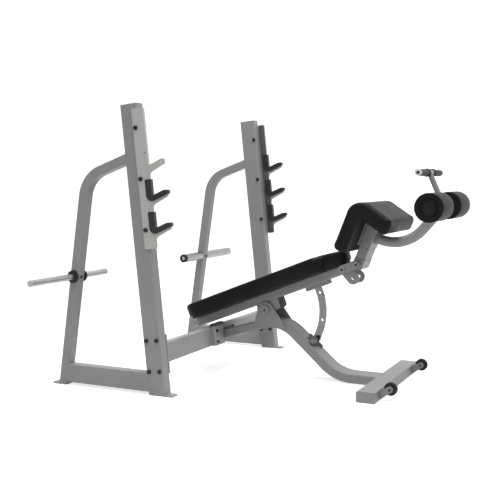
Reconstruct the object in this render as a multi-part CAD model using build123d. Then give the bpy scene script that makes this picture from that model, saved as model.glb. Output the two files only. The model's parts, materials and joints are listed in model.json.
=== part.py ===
from build123d import *
import math
import os

# Adjustable weight bench, millimetres, +X towards the foot end, +Z up, floor at z = 0.
# Left and right are those of a person lying on the bench, so the right side is -Y.
# Lengths along x are measured from the front face of the cross beam while modelling;
# every piece is then moved so that the origin is the bottom centre of the whole bench.

# Square and flat tube stock
TUBE_WALL = 3.0
TUBE_CORNER = 6.0
PLATE = 6.0
HEAVY_PLATE = 8.0
WELD_GAP = 0.2
PAD_SEAT = 0.3
MOVING_GAP = 1.0
RUNNING_FIT = 0.05
BOLT_FIT = 0.25

# Uprights
UPRIGHT_DEPTH = 80.0
UPRIGHT_WIDTH = 50.0
UPRIGHT_LENGTH = 1202.0
UPRIGHT_LEAN = 6.0
UPRIGHT_FOOT_X = -23.4
UPRIGHT_SPACING = 1124.0
CAP_THICKNESS = 4.0

# Rear legs, base rails and floor plates
LEG_DEPTH = 40.0
LEG_JOIN_HEIGHT = 993.0
LEG_SHOULDER_RUN = 259.0
LEG_SHOULDER_DROP = 20.0
LEG_SPLAY = 8.4
LEG_BEND_RADIUS = 130.0
RAIL_HEIGHT = 80.0
RAIL_CLEARANCE = 12.0
FLOOR_TAB = 32.0

# Bar catches, measured along the upright (u) and forward from its axis (v)
CATCH_BELOW_TOP = 24.0
CATCH_LENGTH = 572.0
CATCH_WIDTH = 56.0
CATCH_OVERLAP = 22.5
CATCH_BOLT_INSET = 13.5
CATCH_BOLT_PITCH = 208.0
CATCH_BOLT_ABOVE_END = 78.0
HOOK_COUNT = 3
HOOK_PITCH = 132.0
HOOK_BELOW_TOP = 258.0
HOOK_REACH = 76.0
HOOK_RISE = 18.0
HOOK_UNDER_RISE = 22.0
HOOK_NOSE = 20.0
HOOK_NOSE_ROUND = 6.0
HOOK_TIP_FLAT = 16.0
HOOK_TIP_DROP = 5.0
HOOK_UNDER_FILLET = 20.0
HOOK_SCREW_RADIUS = 3.5
HOOK_SCREW_UP = 52.0
HOOK_SCREW_OUT = 56.0
HOOK_SCREW_SHARE = 0.45
LINER_THICKNESS = 6.0
LINER_FLANGE = 5.0
LINER_BACK = 22.0
LINER_BELOW = 16.0
LINER_HEIGHT = 75.0
LINER_CORNER = 26.0

# Bolts
BOLT_RADIUS = 5.0
BOLT_HEAD_RADIUS = 9.0
BOLT_HEAD = 6.0
SOCKET_RADIUS = 4.0
SOCKET_DEPTH = 3.5
DISC_SOCKET_RADIUS = 5.5
DISC_SOCKET_DEPTH = 5.0

# Weight storage
STORAGE_HEIGHT = 475.0
STORAGE_INNER = 355.0
STORAGE_OUTER = 872.0
STORAGE_BAR_RADIUS = 13.0
STORAGE_SLEEVE_RADIUS = 21.0
STORAGE_COLLAR_RADIUS = 27.0
STORAGE_COLLAR = 10.0
STORAGE_RING = 12.0
SET_SCREW_RADIUS = 4.0
SET_SCREW_HEAD = 6.0

# Cross beam
BEAM_HEIGHT = 84.0
BEAM_DEPTH = 42.0
BEAM_CENTRE = 171.5
END_PLATE_HEIGHT = 166.0
END_PLATE_CENTRE = 165.0
END_BOLT_ACROSS = 50.0
END_BOLT_UP = 129.0
NUT = 7.0

# Saddle: spine flange on the beam's front face and the open channel on its right
FLANGE_LEFT = 84.0
FLANGE_RIGHT = 53.0
FLANGE_BOLT_Y = 58.0
FLANGE_BOLT_LEVELS = (-12.0, 19.0)
CHANNEL_OUTER = 147.0
CHANNEL_INNER = 56.0
CHANNEL_DEPTH = 22.0
CHANNEL_BELOW = 42.0
CHANNEL_ABOVE = 58.0
CHANNEL_BEND = 9.0
CHANNEL_BOLT_Y = 131.0
CHANNEL_BOLT_LEVELS = (-25.0, 25.0)
SADDLE_BOLT_HEAD = 6.5

# Spine and front leg
SPINE_WIDTH = 100.0
SPINE_DEPTH = 40.0
SPINE_START_HEIGHT = 170.3
SPINE_RISE = 17.0
SPINE_RUN = 306.4
SPINE_BEND = 160.0
FRONT_LEG_FALL = 41.5
FRONT_LEG_BEND = 190.0
FOOT_REAR_X = 748.0

# Bench pivot on the spine
PIVOT_X = 226.0
PIVOT_Z = 301.0
PIVOT_PIN_RADIUS = 10.0
PIVOT_DISC_RADIUS = 21.0
PIVOT_DISC = 8.0
PIVOT_PLATE_RADIUS = 36.0
PIVOT_PLATE_REAR = 60.0
PIVOT_PLATE_FRONT = 105.0
PIVOT_PLATE_DOWN = 79.0

# Front foot and transport wheels
FOOT_DEPTH = 80.0
FOOT_HEIGHT = 45.0
FOOT_HALF = 332.0
WHEEL_RADIUS = 27.0
WHEEL_WIDTH = 20.0
WHEEL_ROUND = 4.0
WHEEL_HUB_RADIUS = 17.0
WHEEL_SIDE_GAP = 3.0
WHEEL_Y = 252.0
WHEEL_AHEAD = 41.0
WHEEL_HEIGHT = 49.0
AXLE_RADIUS = 5.0
FORK_PLATE = 5.0
FORK_RADIUS = 13.0
FORK_ROOT = 34.0

# Bench, measured from the pivot along (s) and square to (n) the bench tube
BENCH_ANGLE = 21.4
BENCH_TUBE_WIDTH = 96.0
BENCH_TUBE_DEPTH = 40.0
BENCH_DROP = 32.0
BENCH_HEAD = 361.0
BENCH_FOOT = 440.0
LUG = 8.0
LUG_INSET = 4.0
LUG_RADIUS = 26.0
LUG_TOE = 54.0
LUG_TOE_RADIUS = 13.0
LUG_TOE_DROP = 34.0
SLEEVE_RADIUS = 16.0
TUBE_CAP = 8.0

# Bench pad
BOARD = 12.0
BOARD_INSET = 12.0
PAD_HEIGHT = 58.0
PAD_HALF = 140.0
PAD_NARROW_HALF = 84.0
PAD_HEAD = 362.0
PAD_SHOULDER = 347.0
PAD_FOOT = 445.0
PAD_CORNER = 56.0
PAD_NARROW_CORNER = 70.0
PAD_SHOULDER_CORNER = 28.0
PAD_WAIST_CORNER = 12.0
# The pad's side profile from its base to its crown: share of the height, and how far drawn in
PAD_LEVELS = ((0.0, 4.0), (0.1, 1.0), (0.25, 0.0), (0.78, 0.0), (0.9, 2.0), (0.97, 6.5), (1.0, 13.0))
NOSE_START = 338.0
NOSE_FALL = 12.0

# Tilt adjuster: arc bar, pull pin and its bracket
ARC_RADIUS = 257.5
ARC_WIDTH = 32.0
ARC_THICKNESS = 10.0
ARC_PIN_ANGLE = -29.5
ARC_TOP_HOLE = 27.6
ARC_TAIL = 5.5
ARC_TAIL_ROUND = 12.8
ARC_HEAD = 15.0
ARC_SLOT_GAP = 3.0
ARC_SLOT_BACK = 18.0
ARC_MOUNT_LENGTH = 121.0
ARC_MOUNT_START = 202.5
ARC_MOUNT_HALF = 12.0
ARC_MOUNT = 17.5
ARC_STOP_ANGLE = 15.9
ARC_STOP_RADIUS = 4.5
ARC_STOP_HALF = 20.0
ARC_STOP_INSET = 7.0
PIN_RADIUS = 6.0
PIN_HOLE_GAP = 0.5
PIN_TRAVEL = 13.0
PIN_TIP_GAP = 1.5
STAND_RADIUS = 13.0
STAND_GAP = 3.0
STAND_HALF = 14.0
FAR_STAND_Y = 26.0
FAR_STAND_HALF = 36.0
FAR_STAND_END = 6.0
KNOB_RADIUS = 13.0
KNOB_LENGTH = 14.0
KNOB_ROUND = 2.0

# Leg-holder hinge at the bench's foot end
LINK_REAR = 413.0
LINK_FRONT = 480.5
LOBE_S = 440.0
LOBE_N = 2.5
LOBE_Y = 43.0
LOBE_RADIUS = 27.5
LOBE_HOLE = 7.5
HINGE_PIN_RADIUS = 8.0
HINGE_DISC_RADIUS = 15.5
HINGE_DISC = 7.0
HINGE_SIDE_GAP = 2.0

# Leg holder, measured from the hinge forward of (f) and along (d) the post
POST_LEAN = 21.5
POST_DEPTH = 46.0
POST_OFFSET = 4.0
HINGE_BLOCK_TOP = 29.0
HINGE_BLOCK_BOTTOM = 20.0
HINGE_BLOCK_REAR_ROUND = 18.4
HINGE_BLOCK_FRONT_ROUND = 13.8
KNEE_HALF = 190.0
KNEE_REAR_THICK = 54.0
KNEE_FRONT_THICK = 64.5
KNEE_LOWER_END = 51.0
KNEE_TOP = 271.5
KNEE_REACH = 104.0
KNEE_DROOP = 12.4
KNEE_APEX = 60.0
KNEE_EDGE = 18.0
KNEE_INSIDE = 12.0
KNEE_HEEL = 5.0
KNEE_END_ROUND = 12.0
KNEE_BRACKET = 10.5
KNEE_BRACKET_START = 82.0
KNEE_CHEEK = 4.0
KNEE_BRACKET_BEND = 14.6
KNEE_SHELF = 74.0
ARM_RADIUS = 22.0
ARM_ROOT = 133.0
ARM_BEND = 167.0
ARM_FLANGE_RADIUS = 28.0
ARM_FLANGE = 8.0
ROLLER_F = 239.5
ROLLER_D = 367.6
ROLLER_RADIUS = 58.3
ROLLER_INNER = 72.0
ROLLER_OUTER = 265.0
ROLLER_RECESS_RADIUS = 34.0
ROLLER_RECESS = 7.0
ROLLER_EDGE = 7.0
ROLLER_AXLE_RADIUS = 12.5
ROLLER_CROWN = 14.0
HANDLE_BACK = 107.6
HANDLE_UP = 105.9
HANDLE_HALF = 194.0
HANDLE_RADIUS = 11.5
HANDLE_COLLAR_RADIUS = 13.2
HANDLE_COLLAR = 15.0
HANDLE_BORE_RADIUS = 4.4
HANDLE_BORE = 12.0
STEM_RADIUS = 11.5
GRIP_RADIUS = 14.0
GRIP_START = 42.0
GRIP_FLANGE_RADIUS = 17.0
GRIP_FLANGE = 10.0

lean = math.radians(UPRIGHT_LEAN)
tilt = math.radians(BENCH_ANGLE)
splay = math.radians(LEG_SPLAY)
drop = math.radians(LEG_SHOULDER_DROP)
SIDE_Y = UPRIGHT_SPACING / 2
INNER_Y = SIDE_Y - UPRIGHT_WIDTH / 2
OUTER_Y = SIDE_Y + UPRIGHT_WIDTH / 2

# Drawing planes: x forward, y up the piece, normal towards -Y
floor_plane = Plane.XZ
upright_plane = Plane((UPRIGHT_FOOT_X, 0, 0), (math.cos(lean), 0, math.sin(lean)), (0, -1, 0))
bench_plane = Plane((PIVOT_X, 0, PIVOT_Z), (math.cos(tilt), 0, math.sin(tilt)), (0, -1, 0))
BENCH_TOP = BENCH_DROP + BENCH_TUBE_DEPTH
BENCH_MID = BENCH_DROP + BENCH_TUBE_DEPTH / 2
hinge_point = bench_plane.from_local_coords((LINK_FRONT, BENCH_MID, 0))
post_tilt = math.radians(POST_LEAN)
post_plane = Plane(hinge_point, (math.cos(post_tilt), 0, -math.sin(post_tilt)), (0, -1, 0))


def slab(plane, profile, y0, y1):
    """A plate with the given side profile between two lateral positions."""
    return Pos(0, y1, 0) * extrude(plane * profile, y1 - y0)


def pin(plane, at, y0, y1, radius):
    """A round bar along Y centred on a point of a drawing plane."""
    return slab(plane, Pos(*at) * Circle(radius), y0, y1)


def group(*solids):
    """Several separate solids that make one node."""
    return Compound(children=list(solids))


def other_side(solid):
    return mirror(solid, about=Plane.XZ)


def both_sides(solid):
    """A piece and its mirror image on the other side of the bench."""
    return group(solid, other_side(solid))


def flat_bar(width, depth, path, corner=TUBE_CORNER):
    """A solid bar of rounded rectangular section along a path in the XZ plane."""
    start = Plane(path @ 0, x_dir=(0, 1, 0), z_dir=path % 0)
    return sweep(start * RectangleRounded(width, depth, corner), path)


def box_section(width, depth):
    """Section of a rectangular tube with its hollow."""
    hole = RectangleRounded(width - 2 * TUBE_WALL, depth - 2 * TUBE_WALL, TUBE_CORNER - TUBE_WALL)
    return RectangleRounded(width, depth, TUBE_CORNER) - hole


def box_tube(width, depth, path):
    """A rectangular tube along a path in the XZ plane."""
    hollow = flat_bar(width - 2 * TUBE_WALL, depth - 2 * TUBE_WALL, path, TUBE_CORNER - TUBE_WALL)
    return flat_bar(width, depth, path) - hollow


def socket_bolt(plane, at, face_y, end_y, radius=BOLT_RADIUS, head=BOLT_HEAD_RADIUS, tall=BOLT_HEAD,
                socket=SOCKET_RADIUS, deep=SOCKET_DEPTH):
    """A socket-head bolt along Y: head outside face_y, shank running inwards to end_y."""
    out = math.copysign(1.0, face_y - end_y)
    top_y = face_y + out * tall
    low, high = sorted((face_y, top_y))
    body = pin(plane, at, low, high, head)
    low, high = sorted((face_y, end_y))
    body += pin(plane, at, low, high, radius)
    low, high = sorted((top_y - out * deep, top_y))
    return body - slab(plane, Pos(*at) * RegularPolygon(socket, 6), low, high)


def corner_near(sketch, x, y):
    """The vertex of a sketch that lies nearest to a point."""
    return min(sketch.vertices(), key=lambda vertex: math.hypot(vertex.X - x, vertex.Y - y))


def above_floor(solid, height):
    """Cut a leaning tube level at the given height."""
    size = 3 * UPRIGHT_LENGTH
    return solid - Pos(0, 0, height - size / 2) * Box(size, size, size)


# Uprights with closed top ends

def upright_outline(low, high, inset=0.0):
    depth = UPRIGHT_DEPTH - 2 * inset
    width = UPRIGHT_WIDTH - 2 * inset
    foot = Plane((UPRIGHT_FOOT_X, -SIDE_Y, 0), (0, 1, 0), upright_plane.y_dir)
    section = RectangleRounded(width, depth, TUBE_CORNER - inset)
    return extrude(foot * Pos(0, 0, low) * section, high - low)


upright_tube = above_floor(upright_outline(-UPRIGHT_DEPTH, UPRIGHT_LENGTH - CAP_THICKNESS), PLATE)
upright_tube -= upright_outline(-UPRIGHT_DEPTH, UPRIGHT_LENGTH, TUBE_WALL)
upright_cope = upright_outline(-UPRIGHT_DEPTH, UPRIGHT_LENGTH, -WELD_GAP)
upright_cap = upright_outline(UPRIGHT_LENGTH - CAP_THICKNESS, UPRIGHT_LENGTH)

# Rear legs: one bent tube from the upright's back face to the floor plate

leg_join = upright_plane.from_local_coords((0, LEG_JOIN_HEIGHT, 0))
leg_shoulder = leg_join - Vector(math.cos(drop), 0, math.sin(drop)) * LEG_SHOULDER_RUN
leg_floor = leg_shoulder - Vector(math.tan(splay), 0, 1) * leg_shoulder.Z
leg_path = FilletPolyline(leg_join, leg_shoulder, leg_floor, radius=LEG_BEND_RADIUS)
at_side = Pos(0, -SIDE_Y, 0)
leg_tube = above_floor(at_side * box_tube(UPRIGHT_WIDTH, LEG_DEPTH, leg_path), PLATE) - upright_cope
leg_cope = at_side * flat_bar(UPRIGHT_WIDTH + 2 * WELD_GAP, LEG_DEPTH + 2 * WELD_GAP, leg_path)

# Base rails close the side triangles just above the floor

rail_z = RAIL_CLEARANCE + RAIL_HEIGHT / 2
rail_path = Line((leg_floor.X, 0, rail_z), (UPRIGHT_FOOT_X, 0, rail_z))
rail_tube = at_side * box_tube(UPRIGHT_WIDTH, RAIL_HEIGHT, rail_path) - upright_cope - leg_cope

# Floor plates, one under each upright and each rear leg, with a tab that stands out

upright_foot = UPRIGHT_DEPTH / 2 / math.cos(lean)
leg_foot = LEG_DEPTH / 2 / math.cos(splay)


def floor_plate(x0, x1):
    outline = Pos((x0 + x1) / 2, -SIDE_Y) * RectangleRounded(x1 - x0, UPRIGHT_WIDTH, TUBE_CORNER)
    return extrude(outline, PLATE)


front_plate_end = UPRIGHT_FOOT_X + upright_foot + FLOOR_TAB
rear_plate_end = leg_floor.X - leg_foot - FLOOR_TAB
floor_plates = [
    floor_plate(UPRIGHT_FOOT_X - upright_foot, front_plate_end),
    floor_plate(rear_plate_end, leg_floor.X + leg_foot),
]
floor_plates += [other_side(plate) for plate in floor_plates]

# Bar catches: a laser-cut plate on each upright's outer face with three rising hooks

catch_rear = UPRIGHT_DEPTH / 2 - CATCH_OVERLAP
catch_bottom = UPRIGHT_LENGTH - CATCH_BELOW_TOP - CATCH_LENGTH
catch_front = catch_rear + CATCH_WIDTH
rise = math.radians(HOOK_RISE)
hook_tip = HOOK_REACH * math.tan(rise) - HOOK_TIP_DROP
hook_under = hook_tip - HOOK_NOSE - HOOK_REACH * math.tan(math.radians(HOOK_UNDER_RISE))
hooks = [UPRIGHT_LENGTH - HOOK_BELOW_TOP - HOOK_PITCH * i for i in range(HOOK_COUNT)]
catch_bolts = [(catch_rear + CATCH_BOLT_INSET, catch_bottom + CATCH_BOLT_ABOVE_END + CATCH_BOLT_PITCH * i)
               for i in range(HOOK_COUNT)]


def hook_outline(u):
    """One hook arm, rooted inside the plate's front edge."""
    root = -TUBE_CORNER
    arm = Polyline((root, 0), (0, 0), (HOOK_REACH - HOOK_TIP_FLAT, hook_tip), (HOOK_REACH, hook_tip),
                   (HOOK_REACH, hook_tip - HOOK_NOSE), (0, hook_under), (root, hook_under), close=True)
    return Pos(catch_front, u) * make_face(arm)


def catch_outline():
    middle = Pos(catch_rear + CATCH_WIDTH / 2, catch_bottom + CATCH_LENGTH / 2)
    shape = middle * RectangleRounded(CATCH_WIDTH, CATCH_LENGTH, TUBE_CORNER)
    for u in hooks:
        shape += hook_outline(u)
    shape = fillet([corner_near(shape, catch_front, u + hook_under) for u in hooks], HOOK_UNDER_FILLET)
    shape = fillet([corner_near(shape, catch_front, u) for u in hooks], TUBE_CORNER)
    tip = catch_front + HOOK_REACH
    tips = [corner_near(shape, tip, u + hook_tip) for u in hooks]
    tips += [corner_near(shape, tip, u + hook_tip - HOOK_NOSE) for u in hooks]
    shape = fillet(tips, HOOK_NOSE_ROUND)
    screw_hole = Circle(HOOK_SCREW_RADIUS)
    for u in hooks:
        shape -= Pos(catch_front - CATCH_BOLT_INSET, u + HOOK_SCREW_UP) * screw_hole
        shape -= Pos(catch_front + HOOK_SCREW_OUT, u + hook_tip * HOOK_SCREW_SHARE) * screw_hole
    for at in catch_bolts:
        shape -= Pos(*at) * Circle(BOLT_RADIUS + BOLT_FIT)
    return shape


def liner_outline(u):
    """Side view of the L-shaped liner that cups the bar on one hook."""
    reach = HOOK_REACH + LINER_THICKNESS

    def beside(x, offset):
        return offset / math.cos(rise) + x * math.tan(rise)

    seat = (LINER_THICKNESS, beside(LINER_THICKNESS, LINER_THICKNESS))
    heel = (-LINER_BACK, beside(-LINER_BACK, -LINER_BELOW))
    tip_top = (reach, hook_tip + LINER_THICKNESS)
    nose = (HOOK_REACH - HOOK_TIP_FLAT, beside(HOOK_REACH - HOOK_TIP_FLAT, LINER_THICKNESS))
    tip_low = (reach, beside(reach, -LINER_BELOW))
    edge = Polyline((-LINER_BACK, LINER_HEIGHT), (LINER_THICKNESS, LINER_HEIGHT), seat, nose,
                    tip_top, tip_low, heel, close=True)
    shape = make_face(edge)
    shape = fillet(corner_near(shape, *heel), LINER_CORNER)
    shape = fillet(corner_near(shape, *seat), LINER_THICKNESS)
    shape = fillet([corner_near(shape, *tip_top), corner_near(shape, *tip_low)], LINER_THICKNESS)
    return Pos(catch_front, u) * shape


catch_plate = slab(upright_plane, catch_outline(), -OUTER_Y - HEAVY_PLATE, -OUTER_Y)
liners = [slab(upright_plane, liner_outline(u), -OUTER_Y - HEAVY_PLATE - LINER_FLANGE,
               -OUTER_Y + LINER_FLANGE) - catch_plate for u in hooks]
catch_bolt_set = []
for at in catch_bolts:
    bolt = socket_bolt(upright_plane, at, -OUTER_Y - HEAVY_PLATE, -INNER_Y)
    bolt += pin(upright_plane, at, -INNER_Y, -INNER_Y + BOLT_HEAD, BOLT_HEAD_RADIUS)
    catch_bolt_set.append(bolt)
    upright_tube -= pin(upright_plane, at, -OUTER_Y, -INNER_Y, BOLT_RADIUS + BOLT_FIT)

# Cross beam between the uprights, bolted through an end plate at each side

beam_v = UPRIGHT_DEPTH / 2 - BEAM_DEPTH / 2
beam_end = INNER_Y - HEAVY_PLATE
beam_outline = Pos(beam_v, BEAM_CENTRE) * box_section(BEAM_DEPTH, BEAM_HEIGHT)
beam = slab(upright_plane, beam_outline, -beam_end, beam_end)
end_bolts = [(side * END_BOLT_ACROSS / 2, END_PLATE_CENTRE + level * END_BOLT_UP / 2)
             for side in (-1, 1) for level in (-1, 1)]
end_outline = Pos(0, END_PLATE_CENTRE) * RectangleRounded(UPRIGHT_DEPTH, END_PLATE_HEIGHT, TUBE_CORNER)
end_bolt_set = []
for at in end_bolts:
    end_outline -= Pos(*at) * Circle(BOLT_RADIUS + BOLT_FIT)
    bolt = socket_bolt(upright_plane, at, -OUTER_Y, -beam_end)
    nut = Pos(*at) * RegularPolygon(BOLT_HEAD_RADIUS, 6)
    bolt += slab(upright_plane, nut, -beam_end, -beam_end + NUT)
    end_bolt_set.append(bolt)
    upright_tube -= pin(upright_plane, at, -OUTER_Y, -INNER_Y, BOLT_RADIUS + BOLT_FIT)
end_plate = slab(upright_plane, end_outline, -INNER_Y, -beam_end)

# Saddle: the spine's flange on the beam's front face, and beside it a formed channel open at both ends

flange_face = UPRIGHT_DEPTH / 2 + HEAVY_PLATE
flange_outline = Pos(flange_face - HEAVY_PLATE / 2, BEAM_CENTRE) * Rectangle(HEAVY_PLATE, BEAM_HEIGHT)
flange = slab(upright_plane, flange_outline, -FLANGE_RIGHT, FLANGE_LEFT)
channel_foot = upright_plane.from_local_coords((UPRIGHT_DEPTH / 2, BEAM_CENTRE - CHANNEL_BELOW, 0))
channel_frame = Plane(channel_foot, (0, 1, 0), upright_plane.y_dir)


def channel_section():
    """Plan of the channel: x across the bench, y back towards the beam, whose face is at y = 0."""
    middle = -(CHANNEL_OUTER + CHANNEL_INNER) / 2
    half = (CHANNEL_OUTER - CHANNEL_INNER) / 2
    inner_half = half - PLATE
    inner_depth = CHANNEL_DEPTH - PLATE
    outer = Pos(0, -CHANNEL_DEPTH / 2) * Rectangle(2 * half, CHANNEL_DEPTH)
    inner = Pos(0, -inner_depth / 2) * Rectangle(2 * inner_half, inner_depth)
    outer = fillet([corner_near(outer, side * half, -CHANNEL_DEPTH) for side in (-1, 1)], CHANNEL_BEND)
    bend_inside = CHANNEL_BEND - PLATE
    inner = fillet([corner_near(inner, side * inner_half, -inner_depth) for side in (-1, 1)], bend_inside)
    return Pos(middle, 0) * (outer - inner)


channel = extrude(channel_frame * channel_section(), CHANNEL_BELOW + CHANNEL_ABOVE)

# Spine and front leg: one flat tube bent twice, from the saddle to the front foot

spine_start = Vector(0, 0, SPINE_START_HEIGHT)
spine_rise = math.radians(SPINE_RISE)
spine_crest = spine_start + Vector(math.cos(spine_rise), 0, math.sin(spine_rise)) * SPINE_RUN
leg_slope = math.tan(math.radians(FRONT_LEG_FALL))
foot_z = FOOT_HEIGHT / 2
spine_toe = Vector(spine_crest.X + (spine_crest.Z - foot_z) / leg_slope, 0, foot_z)
spine_path = FilletPolyline(spine_start, spine_crest, spine_toe, (FOOT_REAR_X, 0, foot_z),
                            radius=[SPINE_BEND, FRONT_LEG_BEND])
behind_flange = slab(upright_plane, Pos(flange_face - UPRIGHT_DEPTH, BEAM_CENTRE)
                     * Rectangle(2 * UPRIGHT_DEPTH, 3 * BEAM_HEIGHT), -SPINE_WIDTH, SPINE_WIDTH)
spine_tube = box_tube(SPINE_WIDTH, SPINE_DEPTH, spine_path) - behind_flange

# Pivot plates welded to the spine's sides, with the pin the bench turns on

pivot_plane = Plane((PIVOT_X, 0, PIVOT_Z), (1, 0, 0), (0, -1, 0))
plate_in = SPINE_WIDTH / 2
plate_out = plate_in + PLATE


def hull_outline(circles, points=()):
    """The taut outline round some circles (x, y, radius) and points."""
    edges = []
    for x, y, radius in circles:
        edges += (Pos(x, y) * Circle(radius)).edges()
    for a, b in zip(points, points[1:]):
        edges += Line(a, b).edges()
    return make_hull(edges)


pivot_foot = [(-PIVOT_PLATE_REAR, -PIVOT_PLATE_DOWN), (PIVOT_PLATE_FRONT, -PIVOT_PLATE_DOWN)]
pivot_outline = hull_outline([(0, 0, PIVOT_PLATE_RADIUS)], pivot_foot)
pivot_outline -= Circle(PIVOT_PIN_RADIUS + BOLT_FIT)
pivot_plate = slab(pivot_plane, pivot_outline, -plate_out, -plate_in)
pivot_pin = socket_bolt(pivot_plane, (0, 0), -plate_out, plate_out, PIVOT_PIN_RADIUS,
                        PIVOT_DISC_RADIUS, PIVOT_DISC, DISC_SOCKET_RADIUS, DISC_SOCKET_DEPTH)
pivot_pin += pin(pivot_plane, (0, 0), plate_out, plate_out + PIVOT_DISC, PIVOT_DISC_RADIUS)

# Front foot with closed ends and two transport wheels ahead of it

foot_middle = FOOT_REAR_X + FOOT_DEPTH / 2
foot_end = FOOT_HALF - CAP_THICKNESS
foot_outline = Pos(foot_middle, foot_z) * box_section(FOOT_DEPTH, FOOT_HEIGHT)
front_foot = slab(floor_plane, foot_outline, -foot_end, foot_end)
foot_cap_outline = Pos(foot_middle, foot_z) * RectangleRounded(FOOT_DEPTH, FOOT_HEIGHT, TUBE_CORNER)
foot_cap = slab(floor_plane, foot_cap_outline, -FOOT_HALF, -foot_end)

foot_front_x = FOOT_REAR_X + FOOT_DEPTH
wheel_at = (foot_front_x + WHEEL_AHEAD, WHEEL_HEIGHT)
fork_gap = WHEEL_WIDTH / 2 + WHEEL_SIDE_GAP
fork_root = [(foot_front_x, foot_z - FORK_ROOT / 2), (foot_front_x, foot_z + FORK_ROOT / 2)]
fork_outline = hull_outline([(*wheel_at, FORK_RADIUS)], fork_root)
fork_outline -= Pos(*wheel_at) * Circle(AXLE_RADIUS + BOLT_FIT)
fork_plates = []
wheel_axles = []
tyres = []
hubs = []
for wheel_y in (-WHEEL_Y, WHEEL_Y):
    for inner in (-fork_gap - FORK_PLATE, fork_gap):
        fork_plates.append(slab(floor_plane, fork_outline, wheel_y + inner, wheel_y + inner + FORK_PLATE))
    reach = fork_gap + FORK_PLATE
    axle = socket_bolt(floor_plane, wheel_at, wheel_y - reach, wheel_y + reach, AXLE_RADIUS)
    axle += pin(floor_plane, wheel_at, wheel_y + reach, wheel_y + reach + BOLT_HEAD, BOLT_HEAD_RADIUS)
    wheel_axles.append(axle)
    side_a = wheel_y - WHEEL_WIDTH / 2
    side_b = wheel_y + WHEEL_WIDTH / 2
    tyre = pin(floor_plane, wheel_at, side_a, side_b, WHEEL_RADIUS)
    tyre = fillet(tyre.edges(), WHEEL_ROUND)
    tyres.append(tyre - pin(floor_plane, wheel_at, side_a, side_b, WHEEL_HUB_RADIUS + WELD_GAP))
    hub = pin(floor_plane, wheel_at, side_a, side_b, WHEEL_HUB_RADIUS)
    hubs.append(hub - pin(floor_plane, wheel_at, side_a, side_b, AXLE_RADIUS + RUNNING_FIT))

# Bench tube with its head cap, the lugs that carry it and their bearing sleeve

bench_path = Line(bench_plane.from_local_coords((TUBE_CAP - BENCH_HEAD, BENCH_MID, 0)),
                  bench_plane.from_local_coords((BENCH_FOOT, BENCH_MID, 0)))
bench_tube = box_tube(BENCH_TUBE_WIDTH, BENCH_TUBE_DEPTH, bench_path)
cap_frame = Plane(bench_plane.from_local_coords((-BENCH_HEAD, BENCH_MID, 0)), (0, 1, 0), bench_plane.x_dir)
bench_cap = extrude(cap_frame * RectangleRounded(BENCH_TUBE_WIDTH, BENCH_TUBE_DEPTH, TUBE_CORNER), TUBE_CAP)

lug_out = BENCH_TUBE_WIDTH / 2 - LUG_INSET
lug_in = lug_out - LUG
lug_outline = hull_outline([(0, 0, LUG_RADIUS), (LUG_TOE, BENCH_DROP - LUG_TOE_DROP, LUG_TOE_RADIUS)],
                           [(-LUG_RADIUS, BENCH_DROP), (LUG_TOE + LUG_TOE_RADIUS, BENCH_DROP)])
lug_outline -= Circle(SLEEVE_RADIUS)
bench_lug = slab(bench_plane, lug_outline, -lug_out, -lug_in)
sleeve = pin(bench_plane, (0, 0), -lug_out, lug_out, SLEEVE_RADIUS)
sleeve -= pin(bench_plane, (0, 0), -lug_out, lug_out, PIVOT_PIN_RADIUS + RUNNING_FIT)

# Bench pad on its board: full width at the head, narrow, round and falling away at the foot end


def pad_plan(inset):
    """Plan of the pad at one level, drawn in by an inset; x along the bench, y across it."""
    wide = PAD_HALF - inset
    narrow = PAD_NARROW_HALF - inset
    head = inset - PAD_HEAD
    shoulder = PAD_SHOULDER - inset
    foot = PAD_FOOT - inset
    edge = Polyline((head, -wide), (shoulder, -wide), (shoulder, -narrow), (foot, -narrow),
                    (foot, narrow), (shoulder, narrow), (shoulder, wide), (head, wide), close=True)
    plan = make_face(edge)
    for x, y, radius in ((head, wide, PAD_CORNER - inset), (shoulder, wide, PAD_SHOULDER_CORNER - inset),
                         (shoulder, narrow, PAD_WAIST_CORNER + inset),
                         (foot, narrow, PAD_NARROW_CORNER - inset)):
        plan = fillet([corner_near(plan, x, side * y) for side in (-1, 1)], radius)
    return plan


def bench_level(n):
    """A plane lying along the bench, n above the pivot."""
    return Plane(bench_plane.from_local_coords((0, n, 0)), bench_plane.x_dir, bench_plane.y_dir)


board = extrude(bench_level(BENCH_TOP) * pad_plan(BOARD_INSET), BOARD)
pad_base = BENCH_TOP + BOARD + PAD_SEAT
pad_sections = [bench_level(pad_base + PAD_HEIGHT * share) * pad_plan(inset) for share, inset in PAD_LEVELS]
bench_pad = loft(pad_sections, ruled=True)
pad_top = pad_base + PAD_HEIGHT
above_nose = make_face(Polyline((NOSE_START, pad_top), (PAD_FOOT, pad_top - NOSE_FALL),
                                (2 * PAD_FOOT, pad_top - NOSE_FALL), (2 * PAD_FOOT, 2 * pad_top),
                                (NOSE_START, 2 * pad_top), close=True))
bench_pad -= slab(bench_plane, above_nose, -PAD_HALF, PAD_HALF)

# Tilt adjuster: the arc bar hangs from the bench and passes through a slot in the front leg


def arc_point(angle, radius=ARC_RADIUS):
    turn = math.radians(angle)
    return (radius * math.cos(turn), radius * math.sin(turn))


def arc_band(inside, outside, first, last):
    """A band about the pivot, reaching inside and outside the adjuster's circle, between two angles."""
    outer = ARC_RADIUS + outside
    inner = ARC_RADIUS - inside
    middle = (first + last) / 2
    edge = [ThreePointArc(arc_point(first, outer), arc_point(middle, outer), arc_point(last, outer)),
            Line(arc_point(last, outer), arc_point(last, inner)),
            ThreePointArc(arc_point(last, inner), arc_point(middle, inner), arc_point(first, inner)),
            Line(arc_point(first, inner), arc_point(first, outer))]
    return make_face(edge)


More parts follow.
